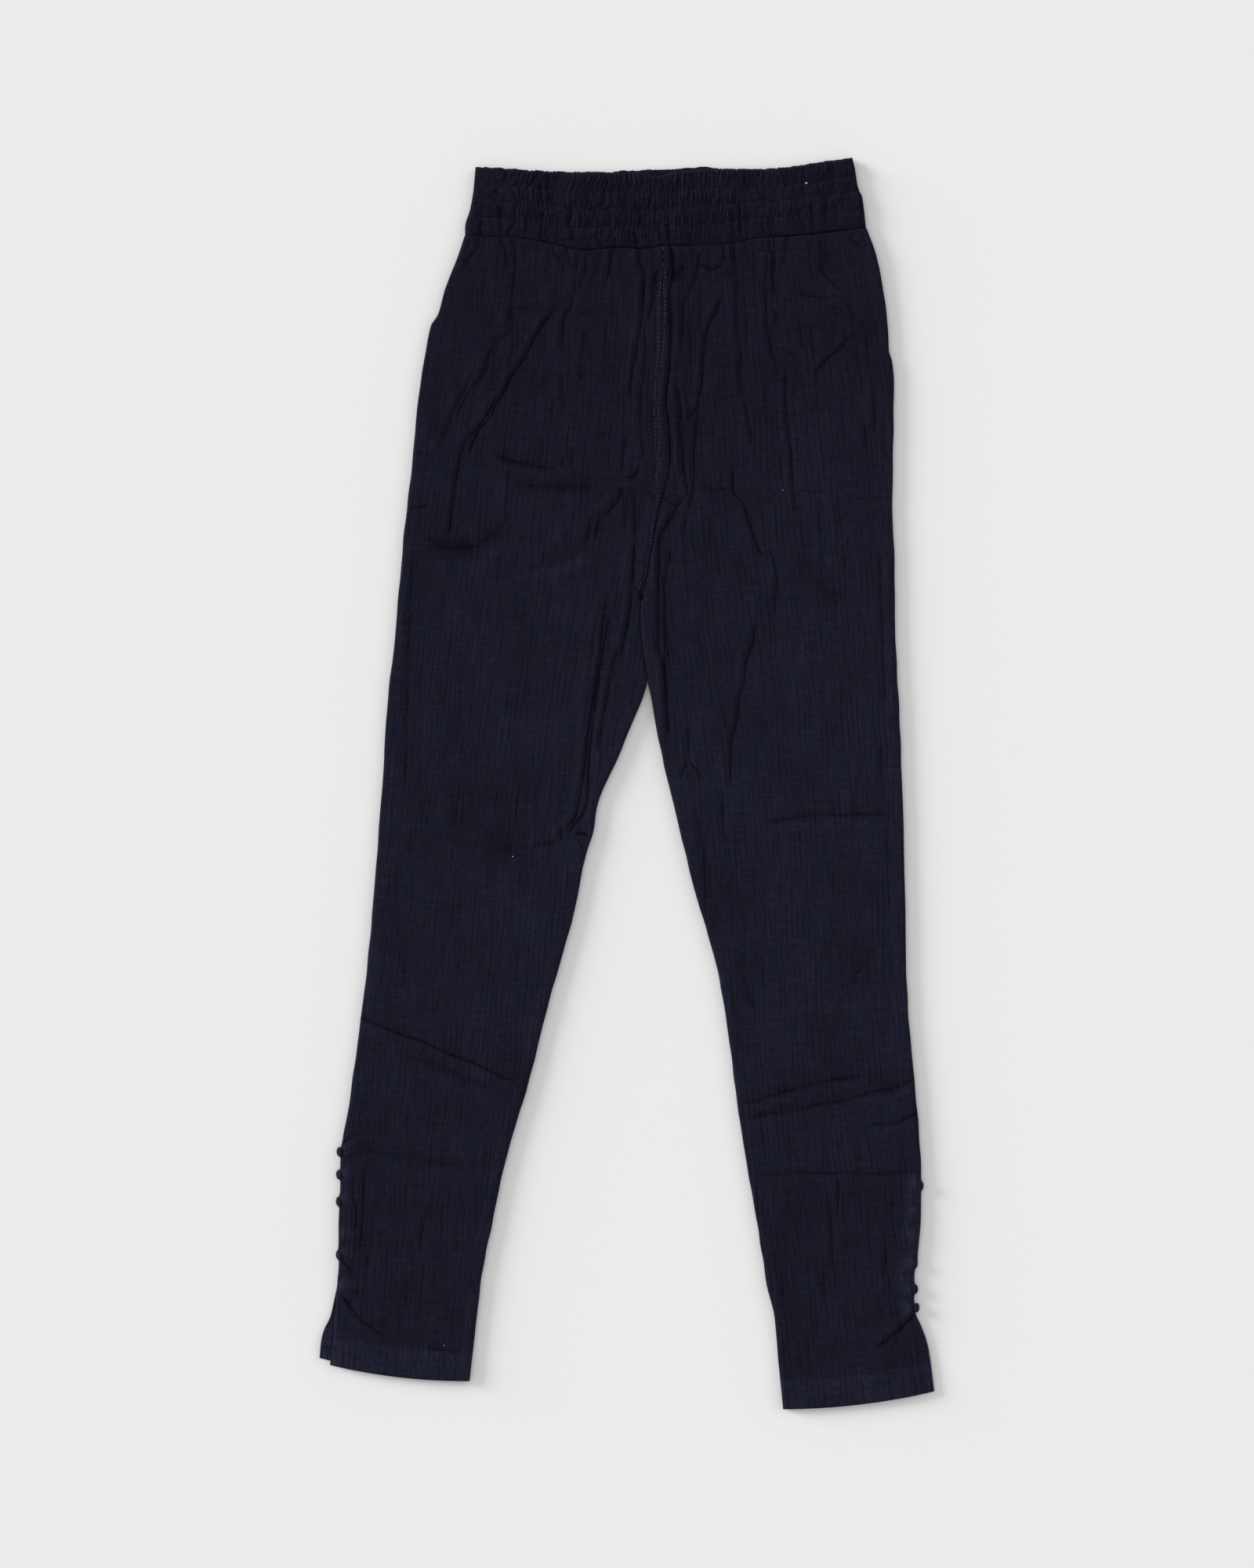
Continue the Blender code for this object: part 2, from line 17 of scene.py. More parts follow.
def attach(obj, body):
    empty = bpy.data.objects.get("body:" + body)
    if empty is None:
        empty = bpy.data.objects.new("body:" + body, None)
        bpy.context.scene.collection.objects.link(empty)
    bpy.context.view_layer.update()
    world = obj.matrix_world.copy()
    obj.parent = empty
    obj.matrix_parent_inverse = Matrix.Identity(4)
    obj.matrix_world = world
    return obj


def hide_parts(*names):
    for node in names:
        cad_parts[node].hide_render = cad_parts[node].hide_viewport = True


bl_info = {
    "name": "Tapered Trousers",
    "version": (1, 0, 0),
    "blender": (4, 5, 0),
    "location": "3D View > Sidebar > Trousers",
    "description": "Makes slim tapered trousers with a smocked waistband, laid flat",
    "category": "Object",
}

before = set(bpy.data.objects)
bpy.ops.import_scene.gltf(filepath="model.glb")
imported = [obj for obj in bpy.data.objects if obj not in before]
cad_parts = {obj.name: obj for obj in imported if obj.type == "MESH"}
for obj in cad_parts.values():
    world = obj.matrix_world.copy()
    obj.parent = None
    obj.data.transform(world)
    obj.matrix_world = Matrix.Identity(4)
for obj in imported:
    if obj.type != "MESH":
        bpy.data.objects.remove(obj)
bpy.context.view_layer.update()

MM = 0.001
WAIST_Y = 478.5

Along = namedtuple("Along", "down x")
Across = namedtuple("Across", "x down")
Side = namedtuple("Side", "part x")
Row = namedtuple("Row", "part gather height")
Gather = namedtuple("Gather", "x pitch reach")
Button = namedtuple("Button", "down drawn inset")
Tone = namedtuple("Tone", "down share")
Grain = namedtuple("Grain", "down slant")
Bump = namedtuple("Bump", "down paler")
Crease = namedtuple("Crease", "depth width ridge path")
Leg = namedtuple(
    "Leg",
    "name side outseam slit_front slit_back inseam hem_front hem_back hem_inner grain buttons bumps worn",
)
Panel = namedtuple("Panel", "x down turned lip from_outer from_inner")


def table(kind, rows):
    """Rows of a table, as tuples with the named columns of kind."""
    return [kind(*row) for row in rows]


# Seam gaps, heights above the floor and rolled edges, in mm, nearly as the solids have them
SEAM_GAP = 0.3
SEWN_GAP = 0.06
EDGE_BULGE = 0.45
SEAM_HEIGHT = 2.3
LEG_HEIGHT = 5.0
HEM_HEIGHT = 4.4
YOKE_HEIGHT = 5.8
YOKE_FADE = 70.0
ROLL = 1.9
CENTRE_ROLL = 1.7
LIP = 0.6
CENTRE_FRONT_ROLL = math.radians(78)

# Crease lines: their layers, half their width as a share of the crease's, and the least gap in a layer
LINE_LAYERS = 4
LINE_WIDTH = 0.34
LINE_APART = 7.0
# Creases that start above this come out of the waist seam at full depth, and others fade in
SEAM_REACH = 78.0

# The fork, the hems, the felled centre seam and the waistband, in mm
FORK_BLEND = 60.0
HEM_DEPTH = 21.0
HEM_BOW = 3.2
HEM_SEWN = 1.2
FELL_WIDTH = 8.5
FELL_RISE = 0.6
BAND_SEAM_GAP = 0.08
BAND_WALL = 3.0
BAND_INSIDE = BAND_WALL + SEAM_GAP
BAND_BASE = 2.4
BAND_ROLL = 4.0

# How finely the cloth is divided: the inner wall has one point for several of the outer one
FRONT_COLUMNS = 152
FRONT_ROW = 1.72
BACK_COLUMNS = 80
BACK_ROW = 3.2
FRONT_COARSE = 4
BACK_COARSE = 2
ROLL_STEPS = 6
BAND_COARSE = 4

# Covered buttons, in mm: their size, the angle by which they face up, and the height of their middles
BUTTON_WIDTH = 7.4
BUTTON_THICK = 2.7
BUTTON_SHANK = 0.3
BUTTON_TILT = math.radians(25)
BUTTON_HEIGHT = 3.2
BUTTON_SIDES = 28

# Specks of lint, in mm before each is drawn out
LINT_RADIUS = 0.5
LINT_SIDES = 10
LINT_RINGS = 6

# The seam down the middle of the back lies this many mm to the wearer's right of the front's
BACK_SEAM_ASIDE = 4

# About the size of each grid's cells, in mm
FRONT_CELL = 2.0
BACK_CELL = 3.4
BAND_CELL = 0.6

# Mean depth of the waistband in mm, and the columns and rows of its halves between their edges
BAND_DEPTH = 58
BAND_GRID_FRONT = (610, 138)
BAND_GRID_BACK = (420, 56)

# Inputs of the tree that raises the waistband's gathers
GATHER_INPUTS = ("Gather Rise", "Pucker Rise", "Channel Puff", "Seed")

# The stage, in metres: the floor is just under the part, and the lens and its film are in mm
FLOOR_SIZE = 8
FLOOR_Z = -0.0004
CAMERA_Z = 3.337
LENS = 100
FILM = 36

# The line where the two legs meet, from the waistband down the centre seam to the fork
CENTRE_SEAM = table(Along, [
    (68, 32.5), (84, 34.5), (110, 32), (134, 32.5), (161, 31.5), (184, 29), (206, 31.5), (233, 32.5),
    (251, 28.5), (287, 20.5), (317, 15.5), (335, 11), (350, 10), (371, 11.5), (400, 16),
])
FORK = CENTRE_SEAM[-1].down

RIGHT_LEG = Leg(
    name="right",
    side=-1,
    outseam=table(Along, [
        (59, -124), (74, -129), (101, -139.5), (119, -144.5), (128, -150), (155, -155), (191, -160.5),
        (227, -163.5), (299, -171.5), (371, -178), (407, -182), (479, -187), (551, -192.5), (623, -199),
        (695, -208.5), (731, -213.5), (749, -217), (767, -219), (800, -219.5), (812, -220.3), (843, -220.6),
        (861, -221.8),
    ]),
    slit_front=table(Along, [(892, -223.5), (923.3, -227)]),
    slit_back=table(Along, [(872, -223.5), (887, -227), (896, -231.5), (906, -234), (918, -235)]),
    inseam=table(Along, [
        (407, 14), (425, 7), (461, -8), (497, -23), (515, -25.5), (533, -31.5), (569, -38.5), (641, -58.5),
        (713, -77), (749, -88), (785, -97), (821, -104.5), (857, -111.5), (887, -115), (935.5, -120.5),
    ]),
    hem_front=923.3,
    hem_back=918,
    hem_inner=935.5,
    grain=table(Grain, [(60, -6.5), (300, -6.2), (480, -5.2), (700, -5.0), (830, -3.6), (940, -3)]),
    buttons=table(Button, [(760, 1.4, 0), (777.5, 1.6, 0), (798, 1.8, 0.2), (838.8, 1.3, 1.2)]),
    bumps=table(Bump, [(760, 0.45), (777, 0.6), (797, 0.65), (822, 0.7), (838, 0.75), (862, 0.85)]),
    worn=0.04,
)

LEFT_LEG = Leg(
    name="left",
    side=1,
    outseam=table(Along, [
        (53, 183), (74, 190.5), (101, 196), (137, 200), (147, 200.5), (155, 202.5), (173, 204), (245, 203),
        (263, 202.5), (299, 204), (371, 205.5), (443, 209), (515, 211.5), (623, 213.5), (659, 215.5),
        (731, 222), (767, 224.6), (795, 225.2), (820, 224), (840, 222), (855, 219.7), (878, 219.7),
    ]),
    slit_front=table(Along, [(899, 225), (911, 228.5), (944, 232.5)]),
    slit_back=table(Along, [(885, 221.2), (893, 224.6), (903, 228.4), (911, 230.6), (943.5, 235)]),
    inseam=table(Along, [
        (425, 20.5), (461, 27.5), (479, 32), (551, 49.5), (623, 69.5), (659, 76), (731, 85.5), (803, 97.5),
        (839, 103.5), (865, 107.5), (887, 113), (916, 115.5), (957, 119.5),
    ]),
    hem_front=944,
    hem_back=943.5,
    hem_inner=957,
    grain=table(Grain, [(55, 7), (190, 5.5), (330, 3.8), (480, 2.4), (640, 2.4), (720, 5), (950, 6)]),
    buttons=table(Button, [(786, 1.2, 1.6), (845.5, 0.9, 2.6), (865.2, 1.4, 0.4), (879.3, 1.6, 0.3)]),
    bumps=table(Bump, [(783, 0.35), (806, 0.25), (825, 0.4), (846, 0.35), (866, 0.3), (880, 0.3)]),
    worn=0.28,
)

BAND_TOP_FRONT = table(Across, [
    (-116, 6.3), (-91, 7.5), (-72, 9.1), (-56, 10.2), (-24, 10.3), (4, 10.5), (20, 13), (36, 10.5), (58, 8.3),
    (75, 8.2), (108, 7.8), (130, 5.4), (150, 2.3), (173, -0.4),
])
BAND_TOP_BACK = table(Across, [
    (-116, 7.3), (-72, 9.6), (-24, 10.5), (0, 9.4), (18, 8.4), (30, 8.3), (58, 6.4), (72, 7.8), (108, 7.9),
    (130, 5.8), (150, 2.2), (173, -1),
])
BAND_SEAM = table(Across, [
    (-124, 59.3), (-97, 60), (-78, 61.3), (-66, 62.6), (-53, 66), (-42, 68.6), (-30, 69.8), (-20, 68.8),
    (-6, 67.6), (12, 68.6), (20, 67.8), (28, 66.3), (49, 66.3), (72, 65.6), (86, 63.3), (103, 60.2),
    (121, 59.3), (145, 57.2), (162, 55), (183, 53),
])
BAND_SEAM_BACK = table(Across, [(-124, 59), (33, 68), (183, 53)])

# How pale the legs' cloth is from the waist seam down
LEG_TONES = table(Tone, [
    (60, 0.77), (150, 0.775), (220, 0.825), (330, 0.9), (480, 0.955), (620, 0.955), (760, 0.885), (900, 0.87),
])

# How strongly the waist seam shows along it, sunk into the cloth and darkened with painted shade
SEAM_SHOWN = table(Across, [
    (-124, 0.4), (-92, 0.45), (-72, 0.8), (-62, 1.25), (-52, 0.8), (-33, 1.3), (-22, 0.9), (-5, 1.0),
    (15, 1.25), (32, 1.2), (50, 0.6), (75, 0.4), (95, 0.6), (112, 0.8), (122, 1.0), (160, 0.9), (183, 0.8),
])

BAND_SIDE_RIGHT = table(Side, [(0, -116), (0.32, -117.5), (0.6, -120), (0.88, -124), (1, -124)])
BAND_SIDE_LEFT = table(Side, [(0, 172.5), (0.15, 174.5), (0.43, 177), (0.55, 180), (1, 183)])

# Across the depth of the waistband: how much of the gathers shows, and the share of its height
BAND_ROWS = table(Row, [
    (0.0, 0.3, 0.4), (0.035, 0.7, 0.9), (0.12, 1.0, 1.0), (0.25, 0.55, 1.0), (0.28, 0.55, 1.0),
    (0.38, 1.0, 1.0), (0.48, 0.55, 1.0), (0.51, 0.55, 1.0), (0.61, 1.0, 1.0), (0.725, 0.6, 1.0),
    (0.8, 0.65, 1.0), (0.9, 0.3, 1.0), (1.0, 0.15, 0.95),
])

# Along the waistband: the distance between gathers in mm, and how much of them shows
GATHERS = table(Gather, [
    (-130, 8.5, 0.35), (-98, 7.5, 0.65), (-87, 5.0, 1.0), (-78, 3.2, 1.0), (-60, 3.0, 1.0), (-56, 8.0, 0.4),
    (-49, 7.0, 0.45), (-45, 3.4, 0.9), (-20, 3.0, 1.0), (10, 2.9, 1.0), (45, 2.6, 1.0), (80, 2.9, 1.0),
    (95, 4.5, 0.5), (103, 5.0, 0.5), (110, 3.0, 0.75), (132, 3.6, 0.55), (150, 4.2, 0.5), (165, 6.0, 0.4),
    (190, 9.0, 0.3),
])
# The gathers above the first row of sewing lean to the wearer's left by this much at the top edge, in mm
GATHER_LEAN = 6.5

STITCH_PARTS = [0.265, 0.49, 0.735]

# The two rows of sewing down the felled centre seam: one joins the other below the hip
SEAM_ROW_OUTER = table(Along, [
    (68, 27.7), (80, 27.7), (89, 29), (98, 28), (111, 29), (136, 28.3), (148, 27.7), (158, 26.2), (178, 24.4),
    (187, 23.6), (202, 24.7), (232, 25), (244, 22.8), (257, 23), (268, 22), (284, 18.7), (297, 18),
    (309, 15.7), (319, 13.5), (329, 8.8),
])
SEAM_ROW_INNER = table(Along, [
    (95, 25.8), (110, 24), (136, 23.7), (148, 23.5), (160, 22.3), (181, 21.7), (194, 20.5), (208, 21.3),
    (221, 22), (244, 21.6),
])
CROTCH = Across(11, 336)

# Creases of the front: depth, width and height of the ridge beside each, in mm, and its path of
# (x, down). A ridge is on the right of someone who walks along the path, or on the left where it is negative.
FRONT_CREASES = table(Crease, [
    (0.6, 1.3, 0.3, [(-112.5, 58), (-113.5, 65), (-123, 80), (-130, 95)]),
    (0.7, 1.3, 0.3, [(-97, 60), (-92.5, 73), (-91, 80), (-90.5, 90)]),
    (0.9, 1.4, 0.4, [(-87, 61), (-85, 82), (-86.5, 90), (-88, 108), (-94, 134)]),
    (0.7, 2.4, 0.3, [
        (-88, 108), (-88, 118), (-90, 132), (-98, 139), (-105, 149), (-111, 165), (-120, 177), (-134, 205),
    ]),
    (0.4, 1.5, 0.2, [(-96, 136), (-103, 153), (-113, 172), (-121, 192)]),
    (0.5, 1.4, 0.2, [(-117.5, 155), (-120, 168), (-128, 184), (-141, 215)]),
    (0.45, 1.4, 0.2, [(-127, 155), (-128, 175), (-135, 199), (-140, 213), (-148, 226), (-151, 236)]),
    (1.2, 1.6, 0.6, [
        (-53, 110), (-55.5, 116), (-65, 128), (-83, 160), (-89, 168), (-93, 177), (-100, 188), (-105, 199),
        (-113, 207.5), (-119, 221), (-122, 230),
    ]),
    (1, 1.8, 0.5, [(-99, 180), (-106, 194), (-116, 208), (-124, 217), (-134, 271), (-136, 293)]),
    (0.6, 1.3, 0.2, [(-61.5, 69), (-60, 75), (-61.5, 91)]),
    (0.8, 1.8, 0.3, [(-56, 71), (-53, 76), (-47, 80)]),
    (0.7, 1.2, 0.3, [(-46.5, 66), (-43, 82), (-40, 88)]),
    (0.7, 1.2, -0.3, [(-34.5, 70), (-39.5, 88)]),
    (0.5, 1.2, 0.2, [(-33, 73), (-31, 80), (-32, 87), (-35.5, 95), (-38, 104)]),
    (1, 1.4, 0.5, [(-40, 86), (-39.5, 95), (-41, 107), (-43, 113), (-48, 123), (-50, 150)]),
    (0.35, 1.3, 0.2, [(-44, 103), (-49, 117)]),
    (0.8, 1.3, 0.3, [(-10.5, 68), (-16.5, 99)]),
    (1, 1.4, 0.4, [
        (3, 60), (8.5, 69), (9, 76), (13.5, 90), (12, 113), (8.5, 140), (4, 165), (3, 177), (4, 189),
    ]),
    (0.7, 2.6, 0.3, [(13, 91), (13, 112)]),
    (1, 1.5, 0.5, [(26, 82), (21, 92), (19.5, 98), (20.5, 104), (14, 128)]),
    (0.8, 3, 0.3, [(24, 86), (22, 95), (22, 103)]),
    (0.7, 1.3, 0.3, [(14, 122), (13.5, 134), (14.5, 146), (13, 167), (11, 177), (10, 204), (14, 233)]),
    (0.6, 1.3, 0.3, [(12.5, 104), (12.5, 127)]),
    (0.6, 2.2, 0.2, [(-34.5, 157), (-34.5, 172)]),
    (0.4, 1.3, 0.2, [(-31, 128), (-33, 140), (-33.5, 158)]),
    (0.35, 1.3, 0.2, [(-16, 122), (-16.5, 158), (-18, 177)]),
    (0.45, 1.4, 0.2, [(-49.5, 163), (-50, 200)]),
    (0.5, 1.4, 0.2, [(-56, 178), (-58.5, 209)]),
    (0.35, 1.4, 0.2, [(-59, 157), (-63, 180)]),
    (0.5, 2.4, 0.2, [(-101, 113), (-90, 115), (-75, 115), (-48, 117)]),
    (0.42, 2.4, 0.2, [(-36, 118), (-20, 117), (-4, 119)]),
    (1.1, 3, 0.5, [(-106, 226), (-80, 233.5), (-49, 238)]),
    (0.8, 1.3, 0.2, [(-49.5, 227), (-49.5, 238)]),
    (0.9, 1.4, 0.2, [(-42, 220), (-42.5, 239)]),
    (0.5, 1.3, 0.2, [(-64, 212), (-64.5, 231)]),
    (0.9, 5, 0.2, [(-88, 249), (-59, 252), (-32, 252), (-18, 251)]),
    (1.2, 6, 0.5, [
        (-153, 286), (-148, 292), (-141, 296.5), (-133, 297.5), (-122, 297.5), (-114, 295.5), (-107, 291.5),
        (-91, 278),
    ]),
    (1, 1.4, 0.3, [(-161, 267.5), (-156, 267), (-152.5, 264)]),
    (0.4, 1.3, 0.2, [(-168, 268.5), (-160, 267.5)]),
    (0.5, 1.3, 0.2, [(-157, 269), (-160, 286)]),
    (0.6, 3, 0, [(-161, 225), (-154, 225)]),
    (0.9, 1.5, 0.3, [(0.5, 205), (-3.5, 236), (-3, 246)]),
    (1.4, 1.6, 0.5, [(-2, 243.5), (3.7, 244.5), (10.5, 235)]),
    (1.1, 2.6, 0.5, [(-3, 247), (-4.5, 257), (-13, 269), (-17, 277)]),
    (1, 2.6, 0.5, [(-19, 268), (-25, 293)]),
    (0.8, 1.5, 0.3, [(-28.5, 272), (-29, 284), (-31.5, 299)]),
    (0.8, 1.4, 0.3, [(3, 246), (3.7, 255), (5.7, 263), (6.4, 273), (5.7, 297)]),
    (1.2, 1.8, 0.5, [(5.7, 290), (5.2, 311), (3, 339), (-6, 388)]),
    (0.7, 1.4, 0.3, [(1, 250), (-2.5, 286)]),
    (0.6, 2.2, 0.2, [(-45, 281), (-47.5, 299)]),
    (0.4, 1.6, 0.2, [(-63, 299), (-64, 312)]),
    (0.4, 1.6, 0.2, [(-96.5, 300), (-98, 314)]),
    (0.7, 1.4, 0.3, [(12, 250), (18, 256), (20.5, 262)]),
    (0.4, 1.5, 0.2, [(-90, 232), (-92.5, 285)]),
    (1.1, 1.7, 0.6, [
        (-14, 332), (-18, 352), (-21, 380), (-30.5, 446), (-33, 470), (-39, 502.5), (-44, 509.5),
        (-48.5, 514),
    ]),
    (1, 1.8, 0.4, [
        (-12, 345), (-17, 370), (-27, 440), (-29.5, 470), (-30, 488), (-34.5, 503.5), (-44, 516),
        (-41.5, 521),
    ]),
    (0.8, 1.6, 0.3, [(-5, 369), (-12, 394), (-22, 457)]),
    (0.9, 1.9, 0.5, [(-50, 509), (-51, 515), (-49, 523)]),
    (0.9, 3.2, 0.4, [(-41, 515.5), (-28, 518)]),
    (0.7, 2, 0.4, [(-39, 519), (-31.5, 532)]),
    (0.6, 3.2, 0.3, [(-74, 524), (-60, 524), (-50, 520)]),
    (0.45, 1.8, 0.1, [(-56, 519), (-56, 530)]),
    (0.5, 7.5, 0, [(-142, 486), (-128, 486), (-100, 491), (-80, 499)]),
    (0.6, 11.2, 0, [(-140, 497), (-116, 510), (-104, 518), (-94, 527), (-86, 538)]),
    (0.35, 2.6, 0.2, [(-187, 494.5), (-174, 495), (-160, 494)]),
    (0.6, 2.6, 0.2, [(-164, 299), (-168, 400), (-170, 488)]),
    (0.95, 1.8, 0.6, [
        (-213, 653), (-202, 658), (-180, 667.5), (-160, 674.5), (-130, 687.5), (-120, 691), (-100, 700.5),
        (-79, 708.5),
    ]),
    (0.45, 3.8, 0.3, [(-178, 684), (-155, 691), (-112, 708), (-98, 712.5)]),
    (0.4, 3.2, 0.2, [(-208, 720), (-195, 722.5)]),
    (1, 1.6, 0.6, [(-224, 757), (-212.5, 750), (-205, 745.5)]),
    (0.45, 4, 0.3, [
        (-224, 767), (-213, 764), (-205, 761), (-200, 758), (-188, 760), (-178, 763), (-152, 767.5),
        (-106, 772),
    ]),
    (0.85, 2.2, 0.3, [(-201.5, 773), (-201.5, 795), (-204, 838)]),
    (0.75, 1.5, 0.3, [(-208.5, 770), (-209.5, 792), (-207, 806), (-209, 828)]),
    (0.6, 1.9, 0.1, [(-198, 837), (-198.5, 849)]),
    (0.8, 1.6, 0.4, [(-226, 834), (-217, 844), (-205.5, 856.5)]),
    (0.6, 1.9, 0.2, [(-206, 857), (-207, 867), (-209, 875)]),
    (1, 1.6, 0.5, [(-220, 866), (-217, 871), (-210, 881), (-201, 891), (-180, 903.5)]),
    (0.5, 1.8, 0.3, [(-149, 796), (-157, 824), (-157, 841)]),
    (0.35, 2.4, 0.2, [(-142, 797), (-141, 830)]),
    (0.4, 2.4, 0.2, [(-168, 850), (-168.5, 886)]),
    (0.35, 1.8, 0.2, [(-185, 886), (-186, 898)]),
    (0.45, 1.6, 0.2, [(-115, 858), (-122, 866)]),
    (1.2, 1.4, 0.3, [(33.5, 68), (36.5, 85), (33, 97)]),
    (0.9, 1.4, 0.3, [(33.5, 100), (34, 126), (34, 142), (30, 186), (33, 210), (33.5, 241)]),
    (0.9, 2.8, 0.4, [(45, 81), (37, 91), (35, 97)]),
    (0.5, 1.3, 0.2, [(37, 106), (36.5, 119), (35, 132)]),
    (0.9, 1.5, 0.4, [
        (34, 168), (38.5, 178), (41, 190), (40.5, 210), (42.5, 221), (43, 234), (46, 254.5), (43, 261),
        (39, 265.5),
    ]),
    (1.2, 1.8, 0.7, [
        (45, 257), (39, 265.5), (36, 272), (26.5, 287), (24.5, 295), (24, 372), (28, 387), (32, 448),
    ]),
    (0.9, 1.5, 0.3, [(31, 264), (35, 265), (40, 265)]),
    (0.6, 1.4, 0.2, [(25.5, 254), (28, 259), (31.5, 263.5)]),
    (0.8, 1.5, 0.3, [(28, 318), (30, 412), (32, 448)]),
    (0.5, 1.3, 0.2, [(43.5, 175), (47.5, 191), (48, 199)]),
    (0.7, 1.4, 0.3, [(56, 72), (52, 92), (47, 105), (43.5, 110), (42.5, 119), (41.5, 156)]),
    (0.35, 1.3, 0.2, [(55, 87), (56.5, 106), (56.5, 125), (58, 137)]),
    (0.4, 1.4, 0.2, [(48, 127), (48.5, 145), (50, 154)]),
    (0.6, 1.3, 0.2, [(73.5, 66), (74.5, 77), (73, 80.5)]),
    (1.1, 1.4, 0.5, [(75, 79), (73, 81), (61, 87.5)]),
    (0.9, 1.8, 0.3, [(53, 83), (58, 82), (63, 84.5), (66, 82)]),
    (0.6, 1.8, 0.2, [(72, 90), (78, 87.5), (81, 91)]),
    (1, 1.4, 0.5, [
        (74, 101), (71, 110), (61, 133), (59.5, 142), (57, 175.5), (54, 192), (53.5, 204), (51, 230),
        (51.5, 244), (47, 271),
    ]),
    (0.6, 1.4, 0.2, [(48, 268), (44.5, 279), (43.5, 290), (46, 311), (46, 320)]),
    (0.9, 1.4, 0.3, [(54, 190), (44.5, 201)]),
    (0.9, 1.3, 0.4, [(80.5, 60), (82, 77), (84.5, 83)]),
    (0.8, 1.3, 0.3, [(84.5, 82), (86.5, 78.5), (91, 77)]),
    (0.7, 1.4, 0.3, [
        (84, 84), (83.5, 119), (84, 132), (87, 151), (86.5, 164), (91, 194), (95, 210), (95, 224),
    ]),
    (0.35, 1.3, 0.2, [(90, 99), (91.5, 145), (90.5, 158)]),
    (0.4, 2.2, 0.2, [(98.5, 71), (98.5, 97)]),
    (1.2, 1.6, 0.5, [(108, 62), (109.5, 69), (112.5, 75), (111.5, 88), (114, 108)]),
    (0.7, 1.5, 0.3, [(107, 72), (107.5, 81), (106, 92), (107, 127), (110.5, 147), (113, 154), (115.5, 171)]),
    (0.8, 2.4, 0.2, [(108, 128), (110.5, 147)]),
    (0.9, 2, 0.2, [(114, 116), (114, 128)]),
    (0.9, 1.3, 0.4, [(122.5, 58), (122, 68), (118, 85)]),
    (0.7, 1.4, 0.3, [(146, 62), (148.5, 68), (149.5, 75), (149.5, 84), (152, 90), (162, 101), (164, 107)]),
    (0.7, 1.4, 0.3, [(168, 110), (175.5, 124)]),
    (0.7, 1.3, 0.3, [(178.5, 121), (183, 130)]),
    (0.5, 1.4, 0.2, [(183, 131), (186, 162)]),
    (0.6, 1.4, 0.2, [(188, 166), (190, 190), (190, 200), (188, 215)]),
    (0.6, 2.2, 0.3, [(122, 98), (127, 100), (129.5, 103), (142, 105.5), (154, 107), (163, 104.5)]),
    (0.35, 1.3, 0.2, [(120.5, 110), (121, 116), (123, 122)]),
    (0.6, 1.3, 0.2, [(130, 118), (132.5, 127), (134.5, 149)]),
    (0.35, 1.3, 0.2, [(139.5, 124), (145, 160)]),
    (0.35, 1.3, 0.2, [(139.5, 79), (143, 94)]),
    (0.7, 1.5, 0.4, [(180, 132), (170.5, 137), (165.5, 143.5), (152.5, 154), (143.5, 167)]),
    (0.6, 1.3, 0.2, [(167, 130), (168, 141)]),
    (0.6, 1.8, 0.2, [(120.5, 147), (130, 151.5)]),
    (1, 1.5, 0.3, [(122, 160), (121, 170), (122.5, 204), (126, 230), (126.5, 244), (129, 265), (131, 273)]),
    (0.4, 1.4, 0.2, [(128.5, 172), (128.5, 184)]),
    (0.7, 1.5, 0.2, [(106.5, 168), (106.5, 192)]),
    (0.6, 1.4, 0.2, [(144.5, 160), (145.5, 173)]),
    (0.6, 1.4, 0.2, [(171, 58), (172.5, 63), (183, 69.5)]),
    (0.4, 2.4, 0.3, [(82, 75), (90, 74), (105, 70.5), (115, 71), (149, 66)]),
    (0.5, 1.3, 0.2, [(117, 224), (119, 251)]),
    (0.5, 1.3, 0.2, [(116, 202), (116, 215)]),
    (0.35, 1.3, 0.2, [(132.5, 221), (134, 238)]),
    (1.1, 1.6, 0.5, [(81.5, 233), (81, 249), (82, 256), (87.5, 261.5), (90, 267), (99, 294), (106.5, 310)]),
    (0.5, 1.6, 0.2, [(107.5, 296), (113.5, 311), (114.5, 322), (113, 345), (113, 372)]),
    (0.5, 1.4, 0.2, [(147, 262), (148, 284), (151, 315)]),
    (0.5, 1.4, 0.2, [(160.5, 256), (165.5, 293)]),
    (0.5, 1.4, 0.2, [(167, 302), (167, 315)]),
    (0.6, 1.4, 0.2, [(181.5, 200), (184, 229)]),
    (0.5, 1.4, 0.2, [(196.5, 192), (196.5, 214), (198.5, 236)]),
    (0.46, 2.4, 0.2, [(51, 252.5), (79, 253.5)]),
    (0.42, 2.4, 0.2, [(128, 254), (145, 255), (162, 254.5)]),
    (0.42, 2.4, 0.2, [(169, 260), (202, 260)]),
    (0.7, 2, 0.2, [(33, 297), (32.5, 314)]),
    (0.82, 9, 0, [(133, 305), (143, 319), (164, 342)]),
    (0.9, 1.8, 0.4, [(98, 350), (97, 369), (92, 383), (90, 397), (86, 413), (84, 431), (80, 446), (79, 484)]),
    (0.45, 1.9, 0.3, [(73, 484), (73, 514), (84, 529)]),
    (0.7, 1.4, 0.3, [(47, 432), (47, 463)]),
    (0.7, 1.3, 0.3, [(47, 460), (40, 476)]),
    (0.7, 1.3, -0.3, [(47, 460), (59, 476)]),
    (0.8, 3.2, 0.5, [(100, 509), (156, 502), (190, 502), (211, 503)]),
    (0.5, 1.8, 0.2, [(193, 296), (198, 424)]),
    (0.7, 1.8, 0.2, [(194, 446), (194, 478)]),
    (0.4, 2.2, 0.2, [(198, 501), (201, 547)]),
    (0.45, 2.1, 0.3, [(49, 491), (58, 519), (60, 545), (60, 577)]),
